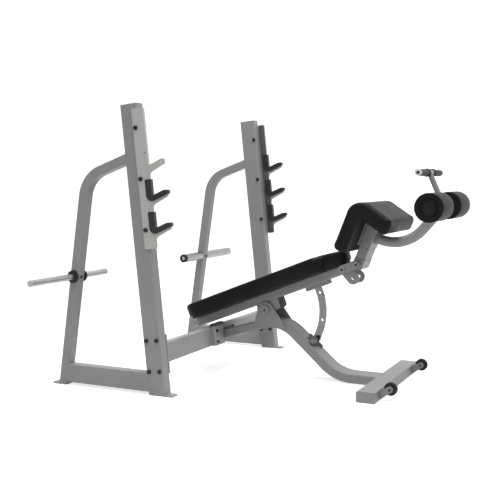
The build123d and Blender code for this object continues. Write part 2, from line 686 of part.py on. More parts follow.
mount_low = BENCH_DROP - ARC_MOUNT
arc_mount = slab(bench_plane, Pos(ARC_MOUNT_START + ARC_MOUNT_LENGTH / 2, BENCH_DROP - ARC_MOUNT / 2)
                 * Rectangle(ARC_MOUNT_LENGTH, ARC_MOUNT), -ARC_MOUNT_HALF, ARC_MOUNT_HALF)
arc_holes = (ARC_PIN_ANGLE, ARC_PIN_ANGLE + BENCH_ANGLE, ARC_PIN_ANGLE + BENCH_ANGLE + ARC_TOP_HOLE)
arc_low = ARC_PIN_ANGLE - ARC_TAIL
arc_outline = arc_band(ARC_WIDTH / 2, ARC_WIDTH / 2, arc_low, BENCH_ANGLE + ARC_HEAD)
arc_tips = [arc_point(arc_low, ARC_RADIUS + side * ARC_WIDTH / 2) for side in (-1, 1)]
arc_outline = fillet([corner_near(arc_outline, *tip) for tip in arc_tips], ARC_TAIL_ROUND)
for angle in arc_holes:
    arc_outline -= Pos(*arc_point(angle)) * Circle(PIN_RADIUS + PIN_HOLE_GAP)
stop_at = arc_point(ARC_STOP_ANGLE, ARC_RADIUS + ARC_WIDTH / 2 - ARC_STOP_INSET)
arc_outline -= Pos(*stop_at) * Circle(ARC_STOP_RADIUS + WELD_GAP)
arc_half = ARC_THICKNESS / 2
above_outline = Pos(ARC_RADIUS, mount_low + BENCH_TOP) * Rectangle(2 * ARC_RADIUS, 2 * BENCH_TOP)
above_mount = slab(bench_plane, above_outline, -ARC_THICKNESS, ARC_THICKNESS)
arc_bar = slab(pivot_plane, arc_outline, -arc_half, arc_half) - above_mount
arc_stop = pin(pivot_plane, stop_at, -ARC_STOP_HALF, ARC_STOP_HALF, ARC_STOP_RADIUS)

arc_slot = arc_band(ARC_WIDTH / 2 + ARC_SLOT_BACK, ARC_WIDTH / 2 + ARC_SLOT_GAP,
                    ARC_PIN_ANGLE - 2 * BENCH_ANGLE, ARC_PIN_ANGLE + BENCH_ANGLE)
spine_tube -= slab(pivot_plane, arc_slot, -arc_half - ARC_SLOT_GAP, arc_half + ARC_SLOT_GAP)

# Pull pin: a small stand on the leg's top carries the pin, and a longer one behind the arc bar its socket

pin_at = arc_point(ARC_PIN_ANGLE)
leg_fall = math.radians(FRONT_LEG_FALL)
leg_along = (math.cos(leg_fall), -math.sin(leg_fall))
leg_down = (-math.sin(leg_fall), -math.cos(leg_fall))
leg_top = (pin_at[0] + PIVOT_X - spine_toe.X, pin_at[1] + PIVOT_Z - spine_toe.Z)
leg_top_down = -leg_top[0] * leg_down[0] - leg_top[1] * leg_down[1] - SPINE_DEPTH / 2


def on_leg(along, up):
    """A point along the leg from the pull pin and up from the leg's top face, about the pivot."""
    down = leg_top_down - up
    return (pin_at[0] + leg_along[0] * along + leg_down[0] * down,
            pin_at[1] + leg_along[1] * along + leg_down[1] * down)


pin_hole = Pos(*pin_at) * Circle(PIN_RADIUS + RUNNING_FIT)
stand_foot = [on_leg(side * STAND_HALF, 0) for side in (-1, 1)]
stand_outline = hull_outline([(*pin_at, STAND_RADIUS)], stand_foot)
stand_face = arc_half + STAND_GAP
stand_near = slab(pivot_plane, stand_outline - pin_hole, -stand_face - PLATE, -stand_face)
far_ends = [(*on_leg(side * FAR_STAND_HALF, FAR_STAND_END), FAR_STAND_END) for side in (-1, 1)]
stand_far = slab(pivot_plane, stand_outline + hull_outline(far_ends), FAR_STAND_Y, FAR_STAND_Y + PLATE)
socket_ring = Pos(*pin_at) * Circle(STAND_RADIUS) - pin_hole
pin_socket = slab(pivot_plane, socket_ring, stand_face, FAR_STAND_Y)
pin_tip = -arc_half - PIN_TIP_GAP
knob_face = -stand_face - PLATE - PIN_TRAVEL - MOVING_GAP
pull_pin = pin(pivot_plane, pin_at, knob_face - KNOB_LENGTH / 2, pin_tip, PIN_RADIUS)
knob = pin(pivot_plane, pin_at, knob_face - KNOB_LENGTH, knob_face, KNOB_RADIUS)
knob = fillet(knob.edges(), KNOB_ROUND)
knob -= pin(pivot_plane, pin_at, knob_face - KNOB_LENGTH / 2, knob_face, PIN_RADIUS)

# Foot end of the bench: a lobed plate under each side of the tube and a link plate on a spacer beside it

tube_side = BENCH_TUBE_WIDTH / 2
link_in = tube_side + PLATE
link_out = link_in + PLATE
link_radius = BENCH_TUBE_DEPTH / 2 - WELD_GAP
link_circles = [(LINK_REAR, BENCH_MID, link_radius), (LINK_FRONT, BENCH_MID, link_radius)]
link_holes = Pos(LINK_REAR, BENCH_MID) * Circle(BOLT_RADIUS + BOLT_FIT)
link_holes += Pos(LINK_FRONT, BENCH_MID) * Circle(HINGE_PIN_RADIUS + BOLT_FIT)
lobe_outline = hull_outline([link_circles[0], (LOBE_S, LOBE_N, LOBE_RADIUS)])
lobe_outline -= Pos(LINK_REAR, BENCH_TOP - WELD_GAP) * Rectangle(2 * LINK_REAR, 2 * BENCH_TUBE_DEPTH)
lobe_outline -= Pos(LOBE_S, LOBE_N) * Circle(LOBE_HOLE)
lobe_plate = slab(bench_plane, lobe_outline, -LOBE_Y, PLATE - LOBE_Y)
link_plate = slab(bench_plane, hull_outline(link_circles) - link_holes, -link_out, -link_in)
link_plate += slab(bench_plane, Pos(LINK_REAR, BENCH_MID) * Circle(link_radius) - link_holes, -link_in, -tube_side)
link_at = (LINK_REAR, BENCH_MID)
link_bolt = socket_bolt(bench_plane, link_at, -link_out, link_out, BOLT_RADIUS,
                        HINGE_DISC_RADIUS, HINGE_DISC, DISC_SOCKET_RADIUS, DISC_SOCKET_DEPTH)
link_bolt += pin(bench_plane, link_at, link_out, link_out + HINGE_DISC, HINGE_DISC_RADIUS)
bench_tube -= pin(bench_plane, link_at, -tube_side, tube_side, BOLT_RADIUS + BOLT_FIT)
hinge_at = (LINK_FRONT, BENCH_MID)
hinge_pin = socket_bolt(bench_plane, hinge_at, -link_out, link_out, HINGE_PIN_RADIUS,
                        HINGE_DISC_RADIUS, HINGE_DISC, DISC_SOCKET_RADIUS, DISC_SOCKET_DEPTH)
hinge_pin += pin(bench_plane, hinge_at, link_out, link_out + HINGE_DISC, HINGE_DISC_RADIUS)

# Leg holder: hinge block, post and the folded bracket round it that carries the knee pad

post_half = link_in - HINGE_SIDE_GAP
post_rear = POST_OFFSET - POST_DEPTH / 2
post_front = POST_OFFSET + POST_DEPTH / 2
block = make_face(Polyline((post_rear, HINGE_BLOCK_TOP), (post_front, HINGE_BLOCK_TOP),
                           (post_front, -HINGE_BLOCK_BOTTOM), (post_rear, -HINGE_BLOCK_BOTTOM), close=True))
block = fillet([corner_near(block, post_rear, -HINGE_BLOCK_BOTTOM)], HINGE_BLOCK_REAR_ROUND)
block = fillet([corner_near(block, post_front, -HINGE_BLOCK_BOTTOM)], HINGE_BLOCK_FRONT_ROUND)
hinge_block = slab(post_plane, block - Circle(HINGE_PIN_RADIUS + RUNNING_FIT), -post_half, post_half)

droop = math.radians(KNEE_DROOP)


def knee_under(f, below=0.0):
    """Height of the knee pad's front underside above the hinge, or of a line parallel to it."""
    return KNEE_TOP - f * math.tan(droop) - (KNEE_FRONT_THICK + below) / math.cos(droop)


knee_inner = post_rear - KNEE_BRACKET - PAD_SEAT
knee_outer = knee_inner - KNEE_REAR_THICK
knee_corners = ((knee_outer, KNEE_LOWER_END, KNEE_EDGE),
                (knee_outer, KNEE_TOP - knee_outer * math.tan(droop), KNEE_APEX),
                (KNEE_REACH, KNEE_TOP - KNEE_REACH * math.tan(droop), KNEE_EDGE),
                (KNEE_REACH, knee_under(KNEE_REACH), KNEE_EDGE),
                (knee_inner, knee_under(knee_inner), KNEE_INSIDE),
                (knee_inner, KNEE_LOWER_END, KNEE_HEEL))
knee_outline = make_face(Polyline(*[(f, d) for f, d, r in knee_corners], close=True))
for f, d, r in knee_corners:
    knee_outline = fillet(corner_near(knee_outline, f, d), r)
knee_pad = slab(post_plane, knee_outline, -KNEE_HALF, KNEE_HALF)
knee_ends = [edge for edge in knee_pad.edges() if abs(abs(edge.center().Y) - KNEE_HALF) < 1]
knee_pad = fillet(knee_ends, KNEE_END_ROUND)

back = knee_inner + PAD_SEAT
bracket_edge = Polyline((back, KNEE_BRACKET_START), (back, knee_under(back, PAD_SEAT)),
                        (KNEE_SHELF, knee_under(KNEE_SHELF, PAD_SEAT)),
                        (KNEE_SHELF, knee_under(KNEE_SHELF, PAD_SEAT + KNEE_BRACKET)),
                        (post_rear, knee_under(post_rear, PAD_SEAT + KNEE_BRACKET)),
                        (post_rear, KNEE_BRACKET_START), close=True)
bracket_outline = make_face(bracket_edge)
bracket_bend = corner_near(bracket_outline, back, knee_under(back, PAD_SEAT))
bracket_outline = fillet(bracket_bend, KNEE_BRACKET_BEND)
bracket_half = post_half + WELD_GAP + KNEE_CHEEK
knee_bracket = slab(post_plane, bracket_outline, -bracket_half, bracket_half)
bracket_cheek = make_face(Polyline((post_rear, KNEE_BRACKET_START), (post_front, KNEE_BRACKET_START),
                                   (post_front, knee_under(post_front, PAD_SEAT + KNEE_BRACKET)),
                                   (post_rear, knee_under(post_rear, PAD_SEAT + KNEE_BRACKET)), close=True))
cheek_right = slab(post_plane, bracket_cheek, -bracket_half, KNEE_CHEEK - bracket_half)
knee_bracket = knee_bracket + cheek_right + other_side(cheek_right)

post_foot = post_plane.from_local_coords((POST_OFFSET, HINGE_BLOCK_TOP, 0))
post_base = Plane(post_foot, (0, 1, 0), post_plane.y_dir)
over_shelf = make_face(Polyline((2 * post_rear, knee_under(2 * post_rear, PAD_SEAT + KNEE_BRACKET)),
                                (2 * post_front, knee_under(2 * post_front, PAD_SEAT + KNEE_BRACKET)),
                                (2 * post_front, 2 * KNEE_TOP), (2 * post_rear, 2 * KNEE_TOP), close=True))
post = extrude(post_base * box_section(2 * post_half, POST_DEPTH), KNEE_TOP)
post -= slab(post_plane, over_shelf, -SPINE_WIDTH, SPINE_WIDTH)

# Roller arm: a round tube that leaves the post square and curves up to the roller axle

roller_at = (ROLLER_F, ROLLER_D)


def arm_turn():
    """Angle the arm turns through so that its straight end points at the roller axle."""
    centre_f = post_front + ARM_FLANGE + ARM_FLANGE / 2
    centre_d = ARM_ROOT + ARM_BEND
    across = ROLLER_F - centre_f
    up = ROLLER_D - centre_d
    return math.asin(ARM_BEND / math.hypot(across, up)) + math.atan2(up, across)


turn = arm_turn()
arm_corner = (ROLLER_F - (ROLLER_D - ARM_ROOT) / math.tan(turn), ARM_ROOT)
arm_end = (ROLLER_F + ROLLER_CROWN * math.cos(turn), ROLLER_D + ROLLER_CROWN * math.sin(turn))
arm_path = FilletPolyline(*[post_plane.from_local_coords((f, d, 0)) for f, d in
                            ((post_front, ARM_ROOT), arm_corner, arm_end)], radius=ARM_BEND)
arm_start = Plane(arm_path @ 0, x_dir=(0, 1, 0), z_dir=arm_path % 0)
arm_solid = sweep(arm_start * Circle(ARM_RADIUS), arm_path)
arm_finish = Plane(arm_path @ 1, x_dir=(0, 1, 0), z_dir=arm_path % 1)
arm = arm_solid - sweep(arm_start * Circle(ARM_RADIUS - TUBE_WALL), arm_path)
arm += extrude(arm_finish * Circle(ARM_RADIUS), -TUBE_WALL)
roller_axle = pin(post_plane, roller_at, ROLLER_RECESS + TUBE_WALL - ROLLER_OUTER,
                  ROLLER_OUTER - ROLLER_RECESS - TUBE_WALL, ROLLER_AXLE_RADIUS)
axle_hole = pin(post_plane, roller_at, -ROLLER_OUTER, ROLLER_OUTER, ROLLER_AXLE_RADIUS + WELD_GAP)
arm -= axle_hole
arm_flange = extrude(arm_start * (Circle(ARM_FLANGE_RADIUS) - Circle(ARM_RADIUS + WELD_GAP)), ARM_FLANGE)


def roller(y0, y1):
    """Foam roller with a recessed outer end; y0 is the inner end and y1 the outer one."""
    low, high = sorted((y0, y1))
    foam = pin(post_plane, roller_at, low, high, ROLLER_RADIUS)
    foam = fillet(foam.edges(), ROLLER_EDGE)
    out = math.copysign(1.0, y1 - y0)
    low, high = sorted((y1 - out * ROLLER_RECESS, y1))
    foam -= pin(post_plane, roller_at, low, high, ROLLER_RECESS_RADIUS)
    low, high = sorted((y0, y1 - out * (ROLLER_RECESS + TUBE_WALL - RUNNING_FIT)))
    return foam - pin(post_plane, roller_at, low, high, ROLLER_AXLE_RADIUS + RUNNING_FIT)


# Handle: a stem from the arm's end to a cross bar with a bored collar at each end and two flanged grips

handle_at = (ROLLER_F - HANDLE_BACK, ROLLER_D + HANDLE_UP)
stem_path = Line(post_plane.from_local_coords((*roller_at, 0)),
                 post_plane.from_local_coords((*handle_at, 0)))
stem_start = Plane(stem_path @ 0, x_dir=(0, 1, 0), z_dir=stem_path % 0)
stem = sweep(stem_start * Circle(STEM_RADIUS), stem_path) - arm_solid - axle_hole
handle_bar = pin(post_plane, handle_at, -HANDLE_HALF, HANDLE_HALF, HANDLE_RADIUS)
stem -= pin(post_plane, handle_at, -HANDLE_HALF, HANDLE_HALF, HANDLE_RADIUS + WELD_GAP)
collar_end = HANDLE_COLLAR - HANDLE_HALF
collar_right = pin(post_plane, handle_at, -HANDLE_HALF, collar_end, HANDLE_COLLAR_RADIUS)
bore_right = pin(post_plane, handle_at, -HANDLE_HALF, HANDLE_BORE - HANDLE_HALF, HANDLE_BORE_RADIUS)
handle_bar = handle_bar + collar_right + other_side(collar_right) - bore_right - other_side(bore_right)
grip = pin(post_plane, handle_at, collar_end + WELD_GAP, -GRIP_START, GRIP_RADIUS)
grip += pin(post_plane, handle_at, -GRIP_START - GRIP_FLANGE, -GRIP_START, GRIP_FLANGE_RADIUS)
grip -= pin(post_plane, handle_at, -HANDLE_HALF, -GRIP_START, HANDLE_RADIUS)

# Weight storage: a bare bar on the right, a sleeved bar on the left, through the rear legs

storage_x = leg_floor.X + STORAGE_HEIGHT * math.tan(splay)
storage_at = (storage_x, STORAGE_HEIGHT)
storage_bar = pin(floor_plane, storage_at, -STORAGE_OUTER, -STORAGE_INNER, STORAGE_BAR_RADIUS)
leg_tube -= pin(floor_plane, storage_at, -OUTER_Y, -INNER_Y, STORAGE_BAR_RADIUS + WELD_GAP)
collar_ring = Pos(*storage_at) * (Circle(STORAGE_COLLAR_RADIUS) - Circle(STORAGE_BAR_RADIUS + WELD_GAP))
collars = group(slab(floor_plane, collar_ring, -OUTER_Y - STORAGE_COLLAR, -OUTER_Y),
                slab(floor_plane, collar_ring, -INNER_Y, STORAGE_COLLAR - INNER_Y))
sleeve_ring = Pos(*storage_at) * (Circle(STORAGE_SLEEVE_RADIUS) - Circle(STORAGE_BAR_RADIUS + WELD_GAP))
sleeves = group(slab(floor_plane, sleeve_ring, STORAGE_INNER + STORAGE_RING, INNER_Y),
                slab(floor_plane, sleeve_ring, OUTER_Y, STORAGE_OUTER))
end_ring = slab(floor_plane, sleeve_ring, STORAGE_INNER, STORAGE_INNER + STORAGE_RING)
screw_plane = Plane((storage_x, -SIDE_Y, STORAGE_HEIGHT), (0, 1, 0), (math.cos(splay), 0, -math.sin(splay)))
screw_start = STORAGE_BAR_RADIUS + WELD_GAP
screw_shank = LEG_DEPTH / 2 - screw_start
set_screw = extrude(screw_plane * Pos(0, 0, screw_start) * Circle(SET_SCREW_RADIUS), screw_shank)
leg_tube -= extrude(screw_plane * Circle(SET_SCREW_RADIUS + WELD_GAP), LEG_DEPTH)
set_screw += extrude(screw_plane * Pos(0, 0, LEG_DEPTH / 2) * Circle(SET_SCREW_HEAD), SET_SCREW_RADIUS)

# Bolts of the flange and the channel, through the beam's front wall

saddle_bolts = []
channel_face = UPRIGHT_DEPTH / 2 + CHANNEL_DEPTH
for across, face_v, levels in ((-CHANNEL_BOLT_Y, channel_face, CHANNEL_BOLT_LEVELS),
                               (FLANGE_BOLT_Y, flange_face, FLANGE_BOLT_LEVELS)):
    for level in levels:
        face = upright_plane.from_local_coords((face_v, BEAM_CENTRE + level, 0))
        at = Plane(face + Vector(0, across, 0), (0, 1, 0), upright_plane.x_dir)
        shank = face_v - UPRIGHT_DEPTH / 2 + TUBE_WALL + BOLT_HEAD
        bolt = extrude(at * Circle(SADDLE_BOLT_HEAD), BOLT_HEAD) + extrude(at * Circle(BOLT_RADIUS), -shank)
        socket = extrude(at * Pos(0, 0, BOLT_HEAD) * RegularPolygon(SOCKET_RADIUS, 6), -SOCKET_DEPTH)
        saddle_bolts.append(bolt - socket)
        hole = extrude(at * Circle(BOLT_RADIUS + BOLT_FIT), -shank)
        channel -= hole
        flange -= hole
        beam -= hole

# Write one STEP file for each node, about the bottom centre of the whole bench

roller_middle = post_plane.from_local_coords((*roller_at, 0))
middle_x = (rear_plate_end + roller_middle.X + ROLLER_RADIUS) / 2

nodes = {
    "upright_right": upright_tube,
    "upright_left": other_side(upright_tube),
    "upright_caps": both_sides(upright_cap),
    "rear_leg_right": leg_tube,
    "rear_leg_left": other_side(leg_tube),
    "base_rail_right": rail_tube,
    "base_rail_left": other_side(rail_tube),
    "floor_plates": group(*floor_plates),
    "catch_plate_right": catch_plate,
    "catch_plate_left": other_side(catch_plate),
    "catch_liners_right": group(*liners[1:]),
    "catch_liners_left": group(*[other_side(liner) for liner in liners]),
    "catch_bolts": group(*catch_bolt_set, *[other_side(bolt) for bolt in catch_bolt_set]),
    "storage_bar_right": storage_bar,
    "storage_bar_left": other_side(storage_bar),
    "storage_collars_right": collars,
    "storage_sleeves_left": sleeves,
    "storage_ring_left": end_ring,
    "storage_set_screws": both_sides(set_screw),
    "cross_beam": beam,
    "beam_end_plates": both_sides(end_plate),
    "beam_bolts": group(*end_bolt_set, *[other_side(bolt) for bolt in end_bolt_set], *saddle_bolts),
    "spine_flange": flange,
    "saddle_channel": channel,
    "spine_and_front_leg": spine_tube,
    "pivot_plates": both_sides(pivot_plate),
    "pivot_pin": pivot_pin,
    "adjuster_stands": group(stand_near, stand_far),
    "pin_socket": pin_socket,
    "front_foot": front_foot,
    "front_foot_caps": both_sides(foot_cap),
    "wheel_forks": group(*fork_plates),
    "wheel_axles": group(*wheel_axles),
    "wheel_tyre_right": tyres[0],
    "wheel_tyre_left": tyres[1],
    "wheel_hub_right": hubs[0],
    "wheel_hub_left": hubs[1],
    "pull_pin": pull_pin,
    "pull_pin_knob": knob,
    "bench_tube": bench_tube,
    "bench_tube_cap": bench_cap,
    "bench_lugs": group(bench_lug, other_side(bench_lug), sleeve),
    "arc_bar": arc_bar,
    "arc_mount": arc_mount,
    "arc_stop_pin": arc_stop,
    "pad_board": board,
    "bench_pad": bench_pad,
    "lobe_plates": both_sides(lobe_plate),
    "link_plates": both_sides(link_plate),
    "hinge_pins": group(link_bolt, hinge_pin),
    "hinge_block": hinge_block,
    "holder_post": post,
    "knee_bracket": knee_bracket,
    "knee_pad": knee_pad,
    "roller_arm": group(arm, arm_flange),
    "roller_axle": roller_axle,
    "handle": group(stem, handle_bar),
    "handle_grips": both_sides(grip),
    "roller_right": roller(-ROLLER_INNER, -ROLLER_OUTER),
    "roller_left": roller(ROLLER_INNER, ROLLER_OUTER),
}

os.makedirs("parts", exist_ok=True)
for name, shape in nodes.items():
    export_step(Pos(-middle_x, 0, 0) * shape, f"parts/{name}.step")
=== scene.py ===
import bmesh
import bpy
import json
import math
from mathutils import Matrix, Vector


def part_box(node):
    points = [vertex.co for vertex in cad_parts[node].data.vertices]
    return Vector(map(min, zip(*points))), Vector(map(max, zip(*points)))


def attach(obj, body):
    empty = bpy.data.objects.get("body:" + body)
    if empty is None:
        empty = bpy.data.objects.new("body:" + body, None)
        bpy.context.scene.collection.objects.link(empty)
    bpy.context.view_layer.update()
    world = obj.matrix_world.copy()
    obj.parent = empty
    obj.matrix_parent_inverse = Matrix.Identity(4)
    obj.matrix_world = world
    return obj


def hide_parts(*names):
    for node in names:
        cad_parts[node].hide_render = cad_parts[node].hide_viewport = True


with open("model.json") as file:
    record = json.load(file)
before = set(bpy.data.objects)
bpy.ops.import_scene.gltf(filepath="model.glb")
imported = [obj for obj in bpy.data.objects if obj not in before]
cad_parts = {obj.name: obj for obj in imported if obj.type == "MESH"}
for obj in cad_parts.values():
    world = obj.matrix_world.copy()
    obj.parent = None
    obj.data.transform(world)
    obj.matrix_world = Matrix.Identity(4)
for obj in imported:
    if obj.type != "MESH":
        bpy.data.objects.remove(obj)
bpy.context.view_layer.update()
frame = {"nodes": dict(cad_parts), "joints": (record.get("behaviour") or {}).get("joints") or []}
nodes = frame["nodes"]


# Side frames: leaning uprights of 80 x 50 mm tube, bent rear legs and base rails, welded up and
# standing on flat floor plates. All of it is sprayed with one silver powder coat, baked to a fine
# orange-peel skin with a little metal flake in it.
SILVER = (0.262, 0.262, 0.262)
SILVER_ROUGH = (0.40, 0.52)
SILVER_EDGE = 0.0014


def new_finish(name):
    """A new material, with its node tree and its shader."""
    finish = bpy.data.materials.new(name)
    finish.use_nodes = True
    return finish, finish.node_tree, finish.node_tree.nodes["Principled BSDF"]


def clouds(tree, scale, detail, stretch=None):
    """Cloudy patches over the piece; a stretch below 1 draws them out in that direction."""
    place = tree.nodes.new("ShaderNodeTexCoord").outputs["Object"]
    if stretch:
        drawn = tree.nodes.new("ShaderNodeMapping")
        drawn.inputs["Scale"].default_value = stretch
        tree.links.new(place, drawn.inputs["Vector"])
        place = drawn.outputs["Vector"]
    noise = tree.nodes.new("ShaderNodeTexNoise")
    noise.inputs["Scale"].default_value = scale
    noise.inputs["Detail"].default_value = detail
    tree.links.new(place, noise.inputs["Vector"])
    return noise.outputs["Fac"]


def cells(tree, scale, measure, feature="F1"):
    """Small cells over the piece, given by one measure of them."""
    place = tree.nodes.new("ShaderNodeTexCoord")
    pattern = tree.nodes.new("ShaderNodeTexVoronoi")
    pattern.feature = feature
    pattern.inputs["Scale"].default_value = scale
    tree.links.new(place.outputs["Object"], pattern.inputs["Vector"])
    return pattern.outputs[measure]


def toned(tree, measure, tone, low, high):
    """A tone that follows a measure; low and high are pairs of a measure and a share of the tone."""
    ramp = tree.nodes.new("ShaderNodeValToRGB")
    for stop, (position, share) in zip(ramp.color_ramp.elements, (low, high)):
        stop.position = position
        stop.color = (*[part * share for part in tone], 1)
    tree.links.new(measure, ramp.inputs["Fac"])
    return ramp.outputs["Color"]


def spread(tree, measure, low, high):
    """A measure spread out between two values."""
    span = tree.nodes.new("ShaderNodeMapRange")
    span.inputs["To Min"].default_value = low
    span.inputs["To Max"].default_value = high
    tree.links.new(measure, span.inputs["Value"])
    return span.outputs["Result"]


def multiplied(tree, colour, share):
    """A colour times a share of it."""
    mix = tree.nodes.new("ShaderNodeMix")
    mix.data_type = "RGBA"
    mix.blend_type = "MULTIPLY"
    mix.inputs["Factor"].default_value = 1.0
    tree.links.new(colour, mix.inputs["A"])
    tree.links.new(share, mix.inputs["B"])
    return mix.outputs["Result"]


def soft_edge(tree, radius):
    """Normals that run softly over the edges."""
    corner = tree.nodes.new("ShaderNodeBevel")
    corner.samples = 4
    corner.inputs["Radius"].default_value = radius
    return corner.outputs["Normal"]


def relief(tree, height, strength, distance, under=None):
    """Normals of a fine relief, laid over other normals."""
    bump = tree.nodes.new("ShaderNodeBump")
    bump.inputs["Strength"].default_value = strength
    bump.inputs["Distance"].default_value = distance
    tree.links.new(height, bump.inputs["Height"])
    if under:
        tree.links.new(under, bump.inputs["Normal"])
    return bump.outputs["Normal"]


def feed(tree, shader, tone, rough, skin):
    """Lead a finish's tone, roughness and skin into its shader."""
    tree.links.new(tone, shader.inputs["Base Color"])
    tree.links.new(rough, shader.inputs["Roughness"])
    tree.links.new(skin, shader.inputs["Normal"])


def powder_coat(name, tone, rough, edge):
    """Baked powder coat: cloudy tone, fine flake, orange-peel skin, edges softened by the film."""
    coat, tree, shader = new_finish(name)
    shader.inputs["Metallic"].default_value = 0.12
    shader.inputs["Specular IOR Level"].default_value = 0.4
    film = toned(tree, clouds(tree, scale=7.0, detail=5.0), tone, low=(0.3, 0.955), high=(0.7, 1.045))
    flake = spread(tree, cells(tree, scale=1500.0, measure="Color"), 0.9, 1.1)
    rub = clouds(tree, scale=42.0, detail=3.0)
    peel = clouds(tree, scale=620.0, detail=2.0)
    skin = relief(tree, peel, strength=0.10, distance=0.0003, under=soft_edge(tree, edge))
    feed(tree, shader, multiplied(tree, film, flake), spread(tree, rub, *rough), skin)
    return coat


def dress(finish, *names):
    """Give CAD pieces their finish."""
    for name in names:
        for pocket in nodes[name].material_slots:
            pocket.material = finish


silver = powder_coat("silver_powder_coat", SILVER, rough=SILVER_ROUGH, edge=SILVER_EDGE)
dress(silver, "upright_right", "upright_left", "upright_caps", "rear_leg_right", "rear_leg_left",
      "base_rail_right", "base_rail_left", "floor_plates")


# Bar catches: laser-cut 8 mm plates bolted to the uprights' outer faces, in a slightly lighter and
# warmer coat. Moulded black liners are pushed over the hooks, a dark guard strip with round ends is
# stuck along each plate's inner face, and the bolts are black oxide.
UPRIGHT_LEAN = math.radians(6.0)
UPRIGHT_FOOT = Vector((-0.28076, 0, 0))
CATCH_SILVER = (0.455, 0.449, 0.436)
MOULDED_BLACK = (0.0105, 0.0105, 0.011)
MOULDED_EDGE = 0.0012
OXIDE_BLACK = (0.012, 0.012, 0.013)
GUARD_GREY = (0.084, 0.082, 0.080)
GUARD_SIZE = Vector((0.0318, 0.003, 0.570))
GUARD_MIDDLE = Vector((0.0574, 0.5854, 0.8920))
GUARD_CORNER = 0.012
GUARD_ROUND = 0.0014
GUARD_RIM_ANGLE = 1.0


def moulded(name, tone, rough, grain, depth, shine):
    """Moulded plastic or rubber: spark-eroded grain, uneven gloss and soft edges."""
    plastic, tree, shader = new_finish(name)
    shader.inputs["Specular IOR Level"].default_value = shine
    handled = clouds(tree, scale=55.0, detail=4.0)
    wear = toned(tree, handled, tone, low=(0.35, 0.8), high=(0.75, 1.35))
    pits = clouds(tree, scale=grain, detail=3.0)
    skin = relief(tree, pits, strength=depth, distance=0.0004, under=soft_edge(tree, MOULDED_EDGE))
    feed(tree, shader, wear, spread(tree, handled, *rough), skin)
    return plastic


def block(size):
    """A block of the given size about the origin."""
    shape = bmesh.new()
    bmesh.ops.create_cube(shape, size=1.0)
    bmesh.ops.scale(shape, verts=shape.verts, vec=size)
    return shape


def rounded(shape, edges, offset, segments, clamp=False):
    """Round off some edges of a shape."""
    bmesh.ops.bevel(shape, geom=edges, offset=offset, segments=segments, profile=0.5,
                    affect="EDGES", material=-1, clamp_overlap=clamp)


def on_upright(shape, at):
    """Set a shape at a place beside the leaning upright, measured along it from its foot."""
    bmesh.ops.translate(shape, verts=shape.verts, vec=at)
    bmesh.ops.rotate(shape, verts=shape.verts, cent=(0, 0, 0),
                     matrix=Matrix.Rotation(-UPRIGHT_LEAN, 3, "Y"))
    bmesh.ops.translate(shape, verts=shape.verts, vec=UPRIGHT_FOOT)


def finished(shape, name, finish, body):
    """Make a shape a smooth piece with its finish, riding on a body."""
    mesh = bpy.data.meshes.new(name)
    shape.to_mesh(mesh)
    shape.free()
    for face in mesh.polygons:
        face.use_smooth = True
    mesh.materials.append(finish)
    piece = bpy.data.objects.new(name, mesh)
    bpy.context.scene.collection.objects.link(piece)
    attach(piece, body)
    return piece


catch_coat = powder_coat("catch_powder_coat", CATCH_SILVER, rough=(0.42, 0.55), edge=0.0010)
dress(catch_coat, "catch_plate_right", "catch_plate_left")
liner_plastic = moulded("liner_plastic", MOULDED_BLACK, rough=(0.26, 0.42), grain=900.0, depth=0.12,
                        shine=0.5)
dress(liner_plastic, "catch_liners_right", "catch_liners_left")
bolt_oxide = moulded("bolt_black_oxide", OXIDE_BLACK, rough=(0.34, 0.5), grain=1600.0, depth=0.08,
                     shine=0.4)
dress(bolt_oxide, "catch_bolts", "beam_bolts", "storage_set_screws")
guard_plastic = moulded("guard_plastic", GUARD_GREY, rough=(0.42, 0.56), grain=900.0, depth=0.12,
                        shine=0.3)
for side, hand in ((-1, "right"), (1, "left")):
    guard = block(GUARD_SIZE)
    ends = [edge for edge in guard.edges
            if abs(edge.verts[0].co.y - edge.verts[1].co.y) > GUARD_SIZE.y / 2]
    rounded(guard, ends, GUARD_CORNER, segments=8)
    rims = [edge for edge in guard.edges if edge.calc_face_angle() > GUARD_RIM_ANGLE]
    rounded(guard, rims, GUARD_ROUND, segments=3)
    on_upright(guard, (GUARD_MIDDLE.x, side * GUARD_MIDDLE.y, GUARD_MIDDLE.z))
    finished(guard, "catch_guard_" + hand, guard_plastic, "frame")


# Weight storage: turned steel bars through the rear legs, zinc plated and rubbed bright by the
# plates, with black rubber collars on the right bar. The left bar has a plated sleeve and a black end
# ring, whose lip turns in over the end of the bar.
PLATED = (0.425, 0.421, 0.414)
SLEEVE_PLATED = (0.345, 0.342, 0.336)
STEEL_EDGE = 0.0012
DRAWN_ALONG_Y = (1.0, 0.04, 1.0)
EVEN = (1.0, 1.0, 1.0)
RUBBER_BLACK = (0.0085, 0.0085, 0.0088)
SPIN_STEPS = 72
RING_ANGLE = 0.5
LIP_HOLE = 0.0095
LIP_THICK = 0.0022
LIP_GAP = 0.0002
LIP_ROUND = 0.0006


def turned_steel(name, tone, rough, stretch):
    """Plated steel with fine marks drawn out along the directions in which the stretch is small."""
    steel, tree, shader = new_finish(name)
    shader.inputs["Metallic"].default_value = 1.0
    marks = clouds(tree, scale=320.0, detail=4.0, stretch=stretch)
    bloom = clouds(tree, scale=24.0, detail=3.0)
    plate = toned(tree, bloom, tone, low=(0.3, 0.9), high=(0.7, 1.08))
    skin = relief(tree, marks, strength=0.06, distance=0.0002, under=soft_edge(tree, STEEL_EDGE))
    feed(tree, shader, plate, spread(tree, marks, *rough), skin)
    return steel


